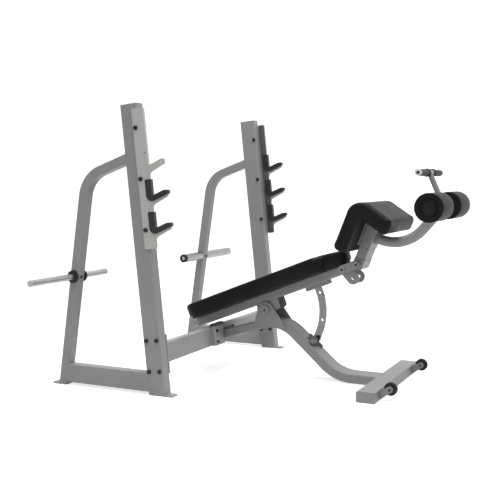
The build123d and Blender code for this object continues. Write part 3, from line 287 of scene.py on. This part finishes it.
def spun(axle, profile, closed, rounding):
    """A shape turned about a Y axis from (radius, y) points, with its sharp rings rounded off."""
    turned = bmesh.new()
    ring = [turned.verts.new((axle.x + radius, y, axle.z)) for radius, y in profile]
    edges = [turned.edges.new(pair) for pair in zip(ring, ring[1:])]
    if closed:
        edges.append(turned.edges.new((ring[-1], ring[0])))
    bmesh.ops.spin(turned, geom=ring + edges, cent=axle, axis=(0, 1, 0), angle=math.tau,
                   steps=SPIN_STEPS, use_merge=True)
    bmesh.ops.remove_doubles(turned, verts=turned.verts, dist=1e-6)
    sharp = [edge for edge in turned.edges
             if edge.is_manifold and edge.calc_face_angle() > RING_ANGLE]
    rounded(turned, sharp, rounding, segments=4, clamp=True)
    bmesh.ops.recalc_face_normals(turned, faces=turned.faces)
    return turned


bar_steel = turned_steel("storage_bar_steel", PLATED, rough=(0.26, 0.40), stretch=DRAWN_ALONG_Y)
dress(bar_steel, "storage_bar_right", "storage_bar_left")
sleeve_steel = turned_steel("storage_sleeve_steel", SLEEVE_PLATED, rough=(0.34, 0.48),
                            stretch=DRAWN_ALONG_Y)
dress(sleeve_steel, "storage_sleeves_left")
collar_rubber = moulded("collar_rubber", RUBBER_BLACK, rough=(0.45, 0.62), grain=700.0, depth=0.2,
                        shine=0.35)
dress(collar_rubber, "storage_collars_right", "storage_ring_left")
ring_low, ring_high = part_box("storage_ring_left")
ring_axis = Vector(((ring_low.x + ring_high.x) / 2, 0, (ring_low.z + ring_high.z) / 2))
ring_radius = (ring_high.x - ring_low.x) / 2
lip_inner = min(ring_low.y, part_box("storage_bar_left")[0].y) - LIP_GAP
lip_outer = lip_inner - LIP_THICK
lip = spun(ring_axis, [(LIP_HOLE, lip_inner), (ring_radius, lip_inner),
                       (ring_radius, lip_outer), (LIP_HOLE, lip_outer)],
           closed=True, rounding=LIP_ROUND)
finished(lip, "storage_ring_lip", collar_rubber, "frame")


# Cross beam and saddle: a rectangular beam with welded end plates bolted between the uprights, the
# spine's flange on its front face and the folded open channel beside it, in the same silver coat.
# A moulded dark grey cap on the channel's upper end is painted shade, standing in for the shade in its
# open top.
CHANNEL_MIDDLE = Vector((0.051, -0.1015, 0))
CHANNEL_TOP = 0.2295
CHANNEL_SIZE = Vector((0.022, 0.091, 0))
CAP_SHADE_GREY = (0.042, 0.042, 0.043)
CAP_HEIGHT = 0.012
CAP_WALL = 0.0012
CAP_CORNER = 0.0095
CAP_CROWN = 0.0035
dress(silver, "cross_beam", "beam_end_plates", "spine_flange", "saddle_channel")
cap = block(CHANNEL_SIZE + Vector((2 * CAP_WALL, 2 * CAP_WALL, CAP_HEIGHT)))
front_corners = [edge for edge in cap.edges if all(vert.co.x > 0 for vert in edge.verts)
                 and edge.verts[0].co.y * edge.verts[1].co.y > 0]
rounded(cap, front_corners, CAP_CORNER, segments=6)
crown = [edge for edge in cap.edges if all(vert.co.z > 0 for vert in edge.verts)]
rounded(cap, crown, CAP_CROWN, segments=4)
on_upright(cap, CHANNEL_MIDDLE + Vector((0, 0, CHANNEL_TOP + CAP_WALL - CAP_HEIGHT / 2)))
# The cap's dark grey is painted shade for the channel's open top under the bench.
shade_cap_plastic = moulded("channel_top_shade_plastic", CAP_SHADE_GREY, rough=(0.46, 0.60), grain=900.0, depth=0.15,
                      shine=0.25)
finished(cap, "channel_shade_cap", shade_cap_plastic, "frame")


# Spine and front leg: one 100 x 40 mm tube bent twice, with the pivot plates welded to its sides.
# The bench turns on a pin whose round heads are sprayed over with the frame; the right head is drawn
# up by a black screw that sits in it.
PIVOT_HEAD_Y = -0.064
SCREW_RADIUS = 0.0052
SCREW_KEY = 0.0029
SCREW_HEAD = 0.003
SCREW_BELOW = 0.0012
SCREW_ROUND = 0.1


def joint_at(name):
    """Where a joint turns, at rest."""
    return Vector(next(joint["pos_m"] for joint in frame["joints"] if joint["name"] == name))


def verts_of(geometry):
    """The vertices among what an operator gives back."""
    return [part for part in geometry if isinstance(part, bmesh.types.BMVert)]


def socket_screw(name, at, radius, key, head, finish, body):
    """A round screw head facing the right side of the bench, with a six-sided key hole."""
    screw = bmesh.new()
    rim = bmesh.ops.create_circle(screw, segments=32, radius=radius)["verts"]
    hole = bmesh.ops.create_circle(screw, segments=6, radius=key)["verts"]
    rim_edges = [edge for edge in screw.edges if edge.verts[0] in rim]
    hole_edges = [edge for edge in screw.edges if edge.verts[0] in hole]
    bmesh.ops.bridge_loops(screw, edges=rim_edges + hole_edges)
    for loop in (rim_edges, hole_edges):
        wall = bmesh.ops.extrude_edge_only(screw, edges=loop)["geom"]
        bmesh.ops.translate(screw, verts=verts_of(wall), vec=(0, 0, -head))
    bmesh.ops.holes_fill(screw, edges=screw.edges, sides=0)
    round_over = [edge for edge in screw.edges if edge in rim_edges]
    rounded(screw, round_over, radius * SCREW_ROUND, segments=2)
    bmesh.ops.recalc_face_normals(screw, faces=screw.faces)
    bmesh.ops.rotate(screw, verts=screw.verts, cent=(0, 0, 0),
                     matrix=Matrix.Rotation(math.pi / 2, 3, "X"))
    bmesh.ops.translate(screw, verts=screw.verts, vec=at)
    piece = finished(screw, name, finish, body)
    for face in piece.data.polygons:
        face.use_smooth = False


dress(silver, "spine_and_front_leg", "pivot_plates", "pivot_pin")
pivot = joint_at("bench_tilt")
screw_oxide = moulded("screw_black_oxide", OXIDE_BLACK, rough=(0.40, 0.55), grain=1600.0, depth=0.08,
                      shine=0.2)
socket_screw("pivot_screw", pivot + Vector((0, PIVOT_HEAD_Y + SCREW_BELOW, 0)),
             SCREW_RADIUS, SCREW_KEY, SCREW_HEAD, screw_oxide, "frame")


# Tilt adjuster: two stands on the front leg hold the pull pin and the socket it shoots into, with a
# turned knob on its right end. The arc bar with its holes is bare plate under a thin warm plating,
# with painted shade darkening it in a round patch beside the hole that is in use.
PIN_STEEL = (0.36, 0.355, 0.345)
KNOB_ZINC = (0.165, 0.164, 0.162)
ARC_STEEL = (0.330, 0.322, 0.316)
ARC_RADIUS = 0.2575
SHADE_PATCH_ANGLE = math.radians(-27.0)
SHADE_PATCH_OUT = 0.009
SHADE_PATCH_REACH = 0.0185
SHADE_PATCH_SOLID = 0.85
SHADE_PATCH_DEPTH = 0.06


def painted_shade(coat, measure, reach, solid, depth):
    """Paint shade into a coat: darken it to a depth where a measure is below its reach, fully below a
    share of that.
    """
    tree = coat.node_tree
    base = tree.nodes["Principled BSDF"].inputs["Base Color"]
    near = tree.nodes.new("ShaderNodeMapRange")
    near.interpolation_type = "SMOOTHSTEP"
    near.inputs["From Min"].default_value = reach * solid
    near.inputs["From Max"].default_value = reach
    near.inputs["To Min"].default_value = depth
    near.inputs["To Max"].default_value = 1.0
    tree.links.new(measure, near.inputs["Value"])
    tree.links.new(multiplied(tree, base.links[0].from_socket, near.outputs["Result"]), base)


dress(silver, "adjuster_stands", "pin_socket")
pin_steel = turned_steel("pin_steel", PIN_STEEL, rough=(0.30, 0.44), stretch=EVEN)
dress(pin_steel, "pull_pin", "arc_stop_pin")
knob_zinc = turned_steel("knob_zinc", KNOB_ZINC, rough=(0.42, 0.56), stretch=EVEN)
dress(knob_zinc, "pull_pin_knob")
arc_plating = powder_coat("arc_plating", ARC_STEEL, rough=(0.34, 0.46), edge=0.0008)
# Painted shade: the plating darkens in a round patch beside the hole in use, where shade falls by the
# knob and stands.
shade_patch_out = Vector((math.cos(SHADE_PATCH_ANGLE), 0, math.sin(SHADE_PATCH_ANGLE)))
arc_tree = arc_plating.node_tree
arc_place = arc_tree.nodes.new("ShaderNodeTexCoord")
shade_patch_from = arc_tree.nodes.new("ShaderNodeVectorMath")
shade_patch_from.operation = "DISTANCE"
shade_patch_from.inputs[1].default_value = shade_patch_out * (ARC_RADIUS + SHADE_PATCH_OUT) + pivot
arc_tree.links.new(arc_place.outputs["Object"], shade_patch_from.inputs[0])
painted_shade(arc_plating, shade_patch_from.outputs["Value"], SHADE_PATCH_REACH, SHADE_PATCH_SOLID, SHADE_PATCH_DEPTH)
dress(arc_plating, "arc_bar")


# Front foot: a flat tube with closed ends; two small rubber-tyred wheels in welded forks roll the
# bench away when the head end is lifted. The axles are sprayed over with the forks, and a black
# screw closes the right end of each.
AXLE_SCREW_RADIUS = 0.0046
AXLE_SCREW_KEY = 0.0022
AXLE_SCREW_HEAD = 0.001
dress(silver, "front_foot", "front_foot_caps", "wheel_forks", "wheel_axles")
tyre_rubber = moulded("tyre_rubber", RUBBER_BLACK, rough=(0.5, 0.68), grain=500.0, depth=0.25,
                      shine=0.35)
dress(tyre_rubber, "wheel_tyre_right", "wheel_tyre_left")
hub_plastic = moulded("hub_plastic", MOULDED_BLACK, rough=(0.4, 0.55), grain=900.0, depth=0.15,
                      shine=0.4)
dress(hub_plastic, "wheel_hub_right", "wheel_hub_left")
half_axle = joint_at("wheel_right_spin").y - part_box("wheel_axles")[0].y
for hand in ("right", "left"):
    head_at = joint_at("wheel_%s_spin" % hand) - Vector((0, half_axle + AXLE_SCREW_HEAD, 0))
    socket_screw("axle_screw_" + hand, head_at, AXLE_SCREW_RADIUS, AXLE_SCREW_KEY, AXLE_SCREW_HEAD,
                 screw_oxide, "frame")


# Bench: a 96 x 40 mm tube on two lugs, with the arc bar's mount underneath and lobed side plates
# and links for the leg holder at its foot end. Black screws draw up the right hinge heads, and a
# plated one holds the tube's plug at the head end.
BENCH_TILT = math.radians(21.4)
BENCH_MIDDLE = 0.052
HINGE_HEAD_Y = -0.067
LINK_REAR = 0.413
LINK_FRONT = 0.4805
PLUG_SCREW = -0.3515
PLUG_SCREW_RADIUS = 0.0042
PLUG_SCREW_KEY = 0.002
PLUG_SCREW_HEAD = 0.0015
TUBE_SIDE_Y = -0.048
bench_along = Vector((math.cos(BENCH_TILT), 0, math.sin(BENCH_TILT)))
bench_square = Vector((-math.sin(BENCH_TILT), 0, math.cos(BENCH_TILT)))


def beside_tube(along, y):
    """A point beside the middle line of the bench's tube."""
    return pivot + bench_along * along + bench_square * BENCH_MIDDLE + Vector((0, y, 0))


dress(silver, "bench_tube", "bench_tube_cap", "bench_lugs", "arc_mount", "lobe_plates", "link_plates",
      "hinge_pins")
for name, along in (("link_screw", LINK_REAR), ("hinge_screw", LINK_FRONT)):
    socket_screw(name, beside_tube(along, HINGE_HEAD_Y + SCREW_BELOW),
                 SCREW_RADIUS, SCREW_KEY, SCREW_HEAD, screw_oxide, "bench")
socket_screw("bench_plug_screw", beside_tube(PLUG_SCREW, TUBE_SIDE_Y - PLUG_SCREW_HEAD),
             PLUG_SCREW_RADIUS, PLUG_SCREW_KEY, PLUG_SCREW_HEAD, bar_steel, "bench")


# Bench pad: dense foam on a plywood board under drawn black vinyl, wide at the head and narrowed to
# a round nose between the lifter's legs. A welt is sewn in round its shoulder.
VINYL_BLACK = (0.0065, 0.0065, 0.0067)
BOARD_BLACK = (0.024, 0.024, 0.0243)
PAD_BASE = 0.0843
PAD_PRESSED = 0.006
PAD_VOXEL = 0.005
PAD_DRAWN_IN = 0.0005
FOAM_STEPS = 20
FOAM_SWELL = 0.0015
SMOOTHING_STROKES = 3
WELT_LEVEL = 0.1245
WELT_THICK = 0.0013


def grained_vinyl(name, tone, rough):
    """Coated upholstery cloth: pebbled grain, faint creases and an even satin gloss."""
    vinyl, tree, shader = new_finish(name)
    shader.inputs["Specular IOR Level"].default_value = 0.12
    shader.inputs["Sheen Weight"].default_value = 0.02
    rubbed = clouds(tree, scale=11.0, detail=5.0)
    shade = toned(tree, rubbed, tone, low=(0.3, 0.8), high=(0.75, 1.3))
    pebble = cells(tree, scale=620.0, measure="Distance", feature="DISTANCE_TO_EDGE")
    grain = relief(tree, pebble, strength=0.16, distance=0.0003)
    crease = clouds(tree, scale=26.0, detail=3.0)
    drape = relief(tree, crease, strength=0.10, distance=0.002, under=grain)
    feed(tree, shader, shade, spread(tree, rubbed, *rough), drape)
    return vinyl


def settle(piece):
    """Make what the modifiers give the piece's own mesh."""
    graph = bpy.context.evaluated_depsgraph_get()
    made = bpy.data.meshes.new_from_object(piece.evaluated_get(graph))
    piece.modifiers.clear()
    piece.data = made


def clad(piece, finish):
    """Give a soft piece one finish and smooth faces."""
    piece.data.materials.clear()
    piece.data.materials.append(finish)
    for face in piece.data.polygons:
        face.use_smooth = True


def upholster(node, name, finish, voxel, drawn_in, seat):
    """Foam under a cover: the form drawn in, meshed evenly, blown up and kept off its seat."""
    cover = bpy.data.objects.new(name, nodes[node].data.copy())
    bpy.context.scene.collection.objects.link(cover)
    form = bmesh.new()
    form.from_mesh(cover.data)
    bmesh.ops.remove_doubles(form, verts=form.verts, dist=1e-5)
    form.normal_update()
    for vert in form.verts:
        vert.co -= vert.normal * drawn_in
    form.to_mesh(cover.data)
    form.free()
    even = cover.modifiers.new("even_mesh", "REMESH")
    even.mode = "VOXEL"
    even.voxel_size = voxel
    settle(cover)
    slack = [vert.co.copy() for vert in cover.data.vertices]
    foam = cover.modifiers.new("foam", "CLOTH")
    foam.settings.quality = 6
    foam.settings.mass = 0.4
    foam.settings.tension_stiffness = 25
    foam.settings.compression_stiffness = 25
    foam.settings.shear_stiffness = 10
    foam.settings.bending_stiffness = 2
    foam.settings.use_pressure = True
    foam.settings.uniform_pressure_force = 4
    foam.settings.effector_weights.gravity = 0
    foam.point_cache.frame_start = 1
    foam.point_cache.frame_end = FOAM_STEPS
    for step in range(1, FOAM_STEPS + 1):
        bpy.context.scene.frame_set(step)
    settle(cover)
    bpy.context.scene.frame_set(1)
    for vert, start in zip(cover.data.vertices, slack):
        move = vert.co - start
        if move.length > FOAM_SWELL:
            move = move * (FOAM_SWELL / move.length)
        vert.co = start + move
    form = bmesh.new()
    form.from_mesh(cover.data)
    for _ in range(SMOOTHING_STROKES):
        bmesh.ops.smooth_vert(form, verts=form.verts, factor=0.5,
                              use_axis_x=True, use_axis_y=True, use_axis_z=True)
    for vert in form.verts:
        vert.co = seat(vert.co)
    form.to_mesh(cover.data)
    form.free()
    clad(cover, finish)
    loft = cover.modifiers.new("drawn_smooth", "SUBSURF")
    loft.levels = 1
    loft.render_levels = 1
    return cover


def welt_round(cover, name, finish, point, across):
    """A sewn welt where a plane meets a cover, lying half in it."""
    cut = bmesh.new()
    cut.from_mesh(cover.data)
    bmesh.ops.bisect_plane(cut, geom=cut.verts[:] + cut.edges[:] + cut.faces[:], plane_co=point,
                           plane_no=across, clear_inner=True, clear_outer=True)
    line = bpy.data.meshes.new(name)
    cut.to_mesh(line)
    cut.free()
    welt = bpy.data.objects.new(name, line)
    bpy.context.scene.collection.objects.link(welt)
    for other in bpy.context.selected_objects:
        other.select_set(False)
    welt.select_set(True)
    bpy.context.view_layer.objects.active = welt
    bpy.ops.object.convert(target="CURVE")
    welt.data.bevel_depth = WELT_THICK
    welt.data.bevel_resolution = 2
    bpy.ops.object.convert(target="MESH")
    clad(welt, finish)
    return welt


def on_board(point):
    """Keep the pad flat on its board."""
    height = (point - pivot).dot(bench_square)
    if height < PAD_BASE + PAD_PRESSED:
        point = point + bench_square * (PAD_BASE - height)
    return point


pad_vinyl = grained_vinyl("pad_vinyl", VINYL_BLACK, rough=(0.40, 0.54))
bench_cover = upholster("bench_pad", "bench_pad_cover", pad_vinyl, PAD_VOXEL, PAD_DRAWN_IN, on_board)
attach(bench_cover, "bench")
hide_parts("bench_pad")
bench_welt = welt_round(bench_cover, "bench_pad_welt", pad_vinyl, pivot + bench_square * WELT_LEVEL,
                        bench_square)
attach(bench_welt, "bench")
board_vinyl = grained_vinyl("board_vinyl", BOARD_BLACK, rough=(0.5, 0.62))
dress(board_vinyl, "pad_board")


# Leg holder: the hinge block and post stand between the links, and the plate folded round the post
# carries the knee pad. The arm is a round tube with a flange at the post. Painted shade runs along
# the seams where one piece is let into the next, standing in for the shadow lines there.
POST_LEAN = math.radians(21.5)
BLOCK_TOP = 0.029
BRACKET_START = 0.082
BRACKET_FOLD = -0.019
SEAM = 0.0013
SEAM_SHADE_SOLID = 0.7
SEAM_SHADE_DEPTH = 0.14
hinge = joint_at("leg_holder_fold")
post_forward = Vector((math.cos(POST_LEAN), 0, -math.sin(POST_LEAN)))
post_up = Vector((math.sin(POST_LEAN), 0, math.cos(POST_LEAN)))


def seam_shaded_coat(name, seams):
    """The frame's silver coat with painted shade along seams, each a direction and its distance from
    the hinge.
    """
    coat = powder_coat(name, SILVER, rough=SILVER_ROUGH, edge=SILVER_EDGE)
    tree = coat.node_tree
    place = tree.nodes.new("ShaderNodeTexCoord")
    for across, at in seams:
        along = tree.nodes.new("ShaderNodeVectorMath")
        along.operation = "DOT_PRODUCT"
        along.inputs[1].default_value = across
        tree.links.new(place.outputs["Object"], along.inputs[0])
        beside = tree.nodes.new("ShaderNodeMath")
        beside.operation = "SUBTRACT"
        beside.inputs[1].default_value = hinge.dot(across) + at
        tree.links.new(along.outputs["Value"], beside.inputs[0])
        apart = tree.nodes.new("ShaderNodeMath")
        apart.operation = "ABSOLUTE"
        tree.links.new(beside.outputs["Value"], apart.inputs[0])
        painted_shade(coat, apart.outputs["Value"], SEAM, SEAM_SHADE_SOLID, SEAM_SHADE_DEPTH)
    return coat


# The dark seam lines are painted shade, standing in for the shadow lines at these joints.
post_seam_shade_coat = seam_shaded_coat("post_seam_shade_coat", [(post_up, BLOCK_TOP + SEAM), (post_up, BRACKET_START - SEAM)])
bracket_seam_shade_coat = seam_shaded_coat("bracket_seam_shade_coat", [(post_forward, BRACKET_FOLD)])
dress(silver, "hinge_block", "roller_arm")
dress(post_seam_shade_coat, "holder_post")
dress(bracket_seam_shade_coat, "knee_bracket")
dress(bar_steel, "roller_axle")


# Knee pad: foam wrapped over the bent plate under one run of vinyl, with an end panel sewn in by a
# welt at each side.
KNEE_DROOP = math.radians(12.4)
KNEE_INNER = -0.0298
KNEE_TOP = 0.2715
KNEE_FRONT_THICK = 0.0645
KNEE_VOXEL = 0.0045
KNEE_LET_OUT = 0.0025
KNEE_WELT_Y = 0.1815


def on_bracket(point):
    """Keep the knee pad off the plate it wraps."""
    forward = (point - hinge).dot(post_forward)
    height = (point - hinge).dot(post_up)
    under = KNEE_TOP - forward * math.tan(KNEE_DROOP) - KNEE_FRONT_THICK / math.cos(KNEE_DROOP)
    past_back = forward - KNEE_INNER
    past_under = under - height
    if min(past_back, past_under) > 0:
        if past_back < past_under:
            point = point - post_forward * past_back
        else:
            point = point + post_up * past_under
    return point


knee_cover = upholster("knee_pad", "knee_pad_cover", pad_vinyl, KNEE_VOXEL, -KNEE_LET_OUT, on_bracket)
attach(knee_cover, "leg_holder")
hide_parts("knee_pad")
for side, hand in ((-1, "right"), (1, "left")):
    knee_welt = welt_round(knee_cover, "knee_pad_welt_" + hand, pad_vinyl,
                           Vector((0, side * KNEE_WELT_Y, 0)), Vector((0, 1, 0)))
    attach(knee_welt, "leg_holder")


# Rollers: dark closed-cell foam tubes on a steel axle, each closed at its outer end by a pressed-in
# black plug with a raised rim.
FOAM_GREY = (0.006, 0.006, 0.0062)
ROLLER_RADIUS = 0.0583
ROLLER_INNER = 0.072
ROLLER_OUTER = 0.265
ROLLER_BORE = 0.01255
ROLLER_ROUND = 0.0033
RECESS_RADIUS = 0.0362
RECESS_DEPTH = 0.0068
PLUG_PROFILE = ((0.0, 0.0048), (0.0235, 0.0044), (0.0282, 0.0016), (0.0298, 0.0066), (0.0338, 0.0066),
                (0.0338, 0.0004), (0.0, 0.0004))
PLUG_ROUND = 0.0007


def foam_skin(name, tone, rough):
    """Closed-cell foam: fine open pores, a dusty bloom and hardly any gloss."""
    foam, tree, shader = new_finish(name)
    shader.inputs["Specular IOR Level"].default_value = 0.125
    shader.inputs["Sheen Weight"].default_value = 0.02
    shader.inputs["Sheen Roughness"].default_value = 0.5
    bloom = clouds(tree, scale=30.0, detail=4.0)
    dust = toned(tree, bloom, tone, low=(0.3, 0.8), high=(0.75, 1.25))
    pores = relief(tree, cells(tree, scale=780.0, measure="Distance"), strength=0.3, distance=0.0004)
    feed(tree, shader, dust, spread(tree, bloom, *rough), pores)
    return foam


roller_foam = foam_skin("roller_foam", FOAM_GREY, rough=(0.46, 0.62))
plug_plastic = moulded("plug_plastic", MOULDED_BLACK, rough=(0.40, 0.54), grain=900.0, depth=0.15,
                       shine=0.15)
for side, hand in ((-1, "right"), (1, "left")):
    spin_at = joint_at("roller_%s_spin" % hand)
    axle = Vector((spin_at.x, 0, spin_at.z))
    inner = side * ROLLER_INNER
    outer = side * ROLLER_OUTER
    recess = outer - side * RECESS_DEPTH
    tube = spun(axle, [(ROLLER_BORE, inner), (ROLLER_RADIUS, inner), (ROLLER_RADIUS, outer),
                       (RECESS_RADIUS, outer), (RECESS_RADIUS, recess), (ROLLER_BORE, recess)],
                closed=True, rounding=ROLLER_ROUND)
    roller = finished(tube, "roller_foam_" + hand, roller_foam, "roller_" + hand)
    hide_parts("roller_" + hand)
    plug = spun(axle, [(radius, recess + side * rise) for radius, rise in PLUG_PROFILE],
                closed=False, rounding=PLUG_ROUND)
    finished(plug, "roller_plug_" + hand, plug_plastic, "roller_" + hand)


# Handle: a stem welded to the arm's end and a cross bar with two flanged rubber grips, for a hand
# to hold while lying down or getting up. A plated ferrule is pressed on each end of the bar, and a
# black plug in its bore is painted shade, standing in for the dark of the open bore.
FERRULE = (0.62, 0.615, 0.605)
BAR_END = 0.194
FERRULE_BORE = 0.0044
FERRULE_RADIUS = 0.0134
FERRULE_LENGTH = 0.0145
FERRULE_DEEP = 0.002
FERRULE_PROUD = 0.0003
FERRULE_ROUND = 0.0008
BUTTON_RADIUS = 0.0062
BUTTON_FLAT = 0.8
BUTTON_PROUD = 0.0008
BUTTON_ROUND = 0.0003
dress(silver, "handle")
grip_rubber = moulded("grip_rubber", RUBBER_BLACK, rough=(0.5, 0.65), grain=600.0, depth=0.3,
                      shine=0.35)
dress(grip_rubber, "handle_grips")
ferrule_steel = turned_steel("ferrule_steel", FERRULE, rough=(0.30, 0.42), stretch=EVEN)
grips_low, grips_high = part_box("handle_grips")
bar_axis = Vector(((grips_low.x + grips_high.x) / 2, 0, (grips_low.z + grips_high.z) / 2))
for side, hand in ((-1, "right"), (1, "left")):
    face_y = side * (BAR_END + FERRULE_PROUD)
    ferrule = spun(bar_axis, [(FERRULE_BORE, side * (BAR_END - FERRULE_DEEP)), (FERRULE_BORE, face_y),
                              (FERRULE_RADIUS, face_y),
                              (FERRULE_RADIUS, side * (BAR_END - FERRULE_LENGTH))],
                   closed=True, rounding=FERRULE_ROUND)
    finished(ferrule, "handle_ferrule_" + hand, ferrule_steel, "leg_holder")
    # The black plug is painted shade, standing in for the dark inside the ferrule's bore.
    crown_y = face_y + side * BUTTON_PROUD
    root_y = face_y - side * BUTTON_PROUD
    button = spun(bar_axis, [(0.0, crown_y), (BUTTON_RADIUS * BUTTON_FLAT, crown_y),
                             (BUTTON_RADIUS, face_y + side * BUTTON_PROUD / 2),
                             (BUTTON_RADIUS, root_y), (0.0, root_y)],
                  closed=False, rounding=BUTTON_ROUND)
    finished(button, "handle_bore_shade_plug_" + hand, plug_plastic, "leg_holder")


# Studio: a pale floor that runs up into a backdrop, soft light from above and from the front, and
# the camera where the photograph was taken from.
FLOOR_FRONT = -9.0
FLOOR_BACK = 5.0
FLOOR_HALF = 14.0
WALL_HEIGHT = 7.0
SWEEP = 2.0
SWEEP_STEPS = 24
PAPER = (0.58, 0.58, 0.58)
PAPER_GLOW = 0.70
SKY_LEAN = (-0.06, 0.30, 0.95)
SKY_LOW = 0.25
SKY_STRENGTH = 0.74
CAMERA_AT = (1.5349, -3.5306, 0.8835)
CAMERA_DIP = 4.658
CAMERA_TURN = 25.303
LENS_WIDTH = 36.0
LENS_LENGTH = 61.14
floor = bmesh.new()
front = floor.edges.new([floor.verts.new((x, FLOOR_FRONT, 0)) for x in (-FLOOR_HALF, FLOOR_HALF)])
run = bmesh.ops.extrude_edge_only(floor, edges=[front])["geom"]
back = verts_of(run)
bmesh.ops.translate(floor, verts=back, vec=(0, FLOOR_BACK - SWEEP - FLOOR_FRONT, 0))
back_edge = [part for part in run if isinstance(part, bmesh.types.BMEdge)
             and all(vert in back for vert in part.verts)]
bend = bmesh.ops.spin(floor, geom=back_edge + back, cent=(0, FLOOR_BACK - SWEEP, SWEEP), axis=(1, 0, 0),
                      angle=math.pi / 2, steps=SWEEP_STEPS)["geom_last"]
top = [part for part in bend if isinstance(part, bmesh.types.BMEdge)]
rise = bmesh.ops.extrude_edge_only(floor, edges=top)["geom"]
bmesh.ops.translate(floor, verts=verts_of(rise), vec=(0, 0, WALL_HEIGHT))
bmesh.ops.recalc_face_normals(floor, faces=floor.faces)
floor_mesh = bpy.data.meshes.new("studio_floor")
floor.to_mesh(floor_mesh)
floor.free()
studio_floor = bpy.data.objects.new("studio_floor", floor_mesh)
bpy.context.scene.collection.objects.link(studio_floor)
paper, tree, shader = new_finish("studio_paper")
shader.inputs["Base Color"].default_value = (*PAPER, 1)
shader.inputs["Roughness"].default_value = 0.9
shader.inputs["Specular IOR Level"].default_value = 0.0
shader.inputs["Emission Color"].default_value = (1, 1, 1, 1)
ray = tree.nodes.new("ShaderNodeLightPath")
seen = ray.outputs["Is Camera Ray"]
for kind in ("Is Glossy Ray", "Is Transmission Ray"):
    either = tree.nodes.new("ShaderNodeMath")
    either.operation = "MAXIMUM"
    tree.links.new(seen, either.inputs[0])
    tree.links.new(ray.outputs[kind], either.inputs[1])
    seen = either.outputs["Value"]
glow = tree.nodes.new("ShaderNodeMath")
glow.operation = "MULTIPLY"
glow.inputs[1].default_value = PAPER_GLOW
tree.links.new(seen, glow.inputs[0])
tree.links.new(glow.outputs["Value"], shader.inputs["Emission Strength"])
clad(studio_floor, paper)

world = bpy.data.worlds.new("studio_sky")
bpy.context.scene.world = world
world.use_nodes = True
tree = world.node_tree
sky = tree.nodes["Background"]
sky.inputs["Strength"].default_value = SKY_STRENGTH
place = tree.nodes.new("ShaderNodeTexCoord")
lean = tree.nodes.new("ShaderNodeVectorMath")
lean.operation = "DOT_PRODUCT"
lean.inputs[1].default_value = SKY_LEAN
tree.links.new(place.outputs["Generated"], lean.inputs[0])
level = tree.nodes.new("ShaderNodeMapRange")
level.inputs["From Min"].default_value = -1.0
level.inputs["To Min"].default_value = SKY_LOW
level.inputs["To Max"].default_value = 1.0
tree.links.new(lean.outputs["Value"], level.inputs["Value"])
tree.links.new(level.outputs["Result"], sky.inputs["Color"])


def softbox(name, at, aim, width, height, watts):
    """A soft lamp of the given size, pointed at a spot."""
    lamp = bpy.data.lights.new(name, "AREA")
    lamp.shape = "RECTANGLE"
    lamp.size = width
    lamp.size_y = height
    lamp.energy = watts
    box = bpy.data.objects.new(name, lamp)
    box.location = at
    box.rotation_euler = (Vector(aim) - Vector(at)).to_track_quat("-Z", "Y").to_euler()
    bpy.context.scene.collection.objects.link(box)


softbox("lamp_above", at=(0.6, 0.0, 4.2), aim=(0.2, 0.0, 0.4), width=5.0, height=2.2, watts=232.0)
softbox("lamp_front", at=(-1.0, -7.0, 3.2), aim=(0.0, 0.0, 0.5), width=4.0, height=3.0, watts=22.0)

lens = bpy.data.cameras.new("photo_camera")
lens.sensor_fit = "HORIZONTAL"
lens.sensor_width = LENS_WIDTH
lens.lens = LENS_LENGTH
camera = bpy.data.objects.new("photo_camera", lens)
camera.location = CAMERA_AT
camera.rotation_euler = (math.radians(90 - CAMERA_DIP), 0, math.radians(CAMERA_TURN))
bpy.context.scene.collection.objects.link(camera)
bpy.context.scene.camera = camera
bpy.context.scene.view_settings.view_transform = "Standard"
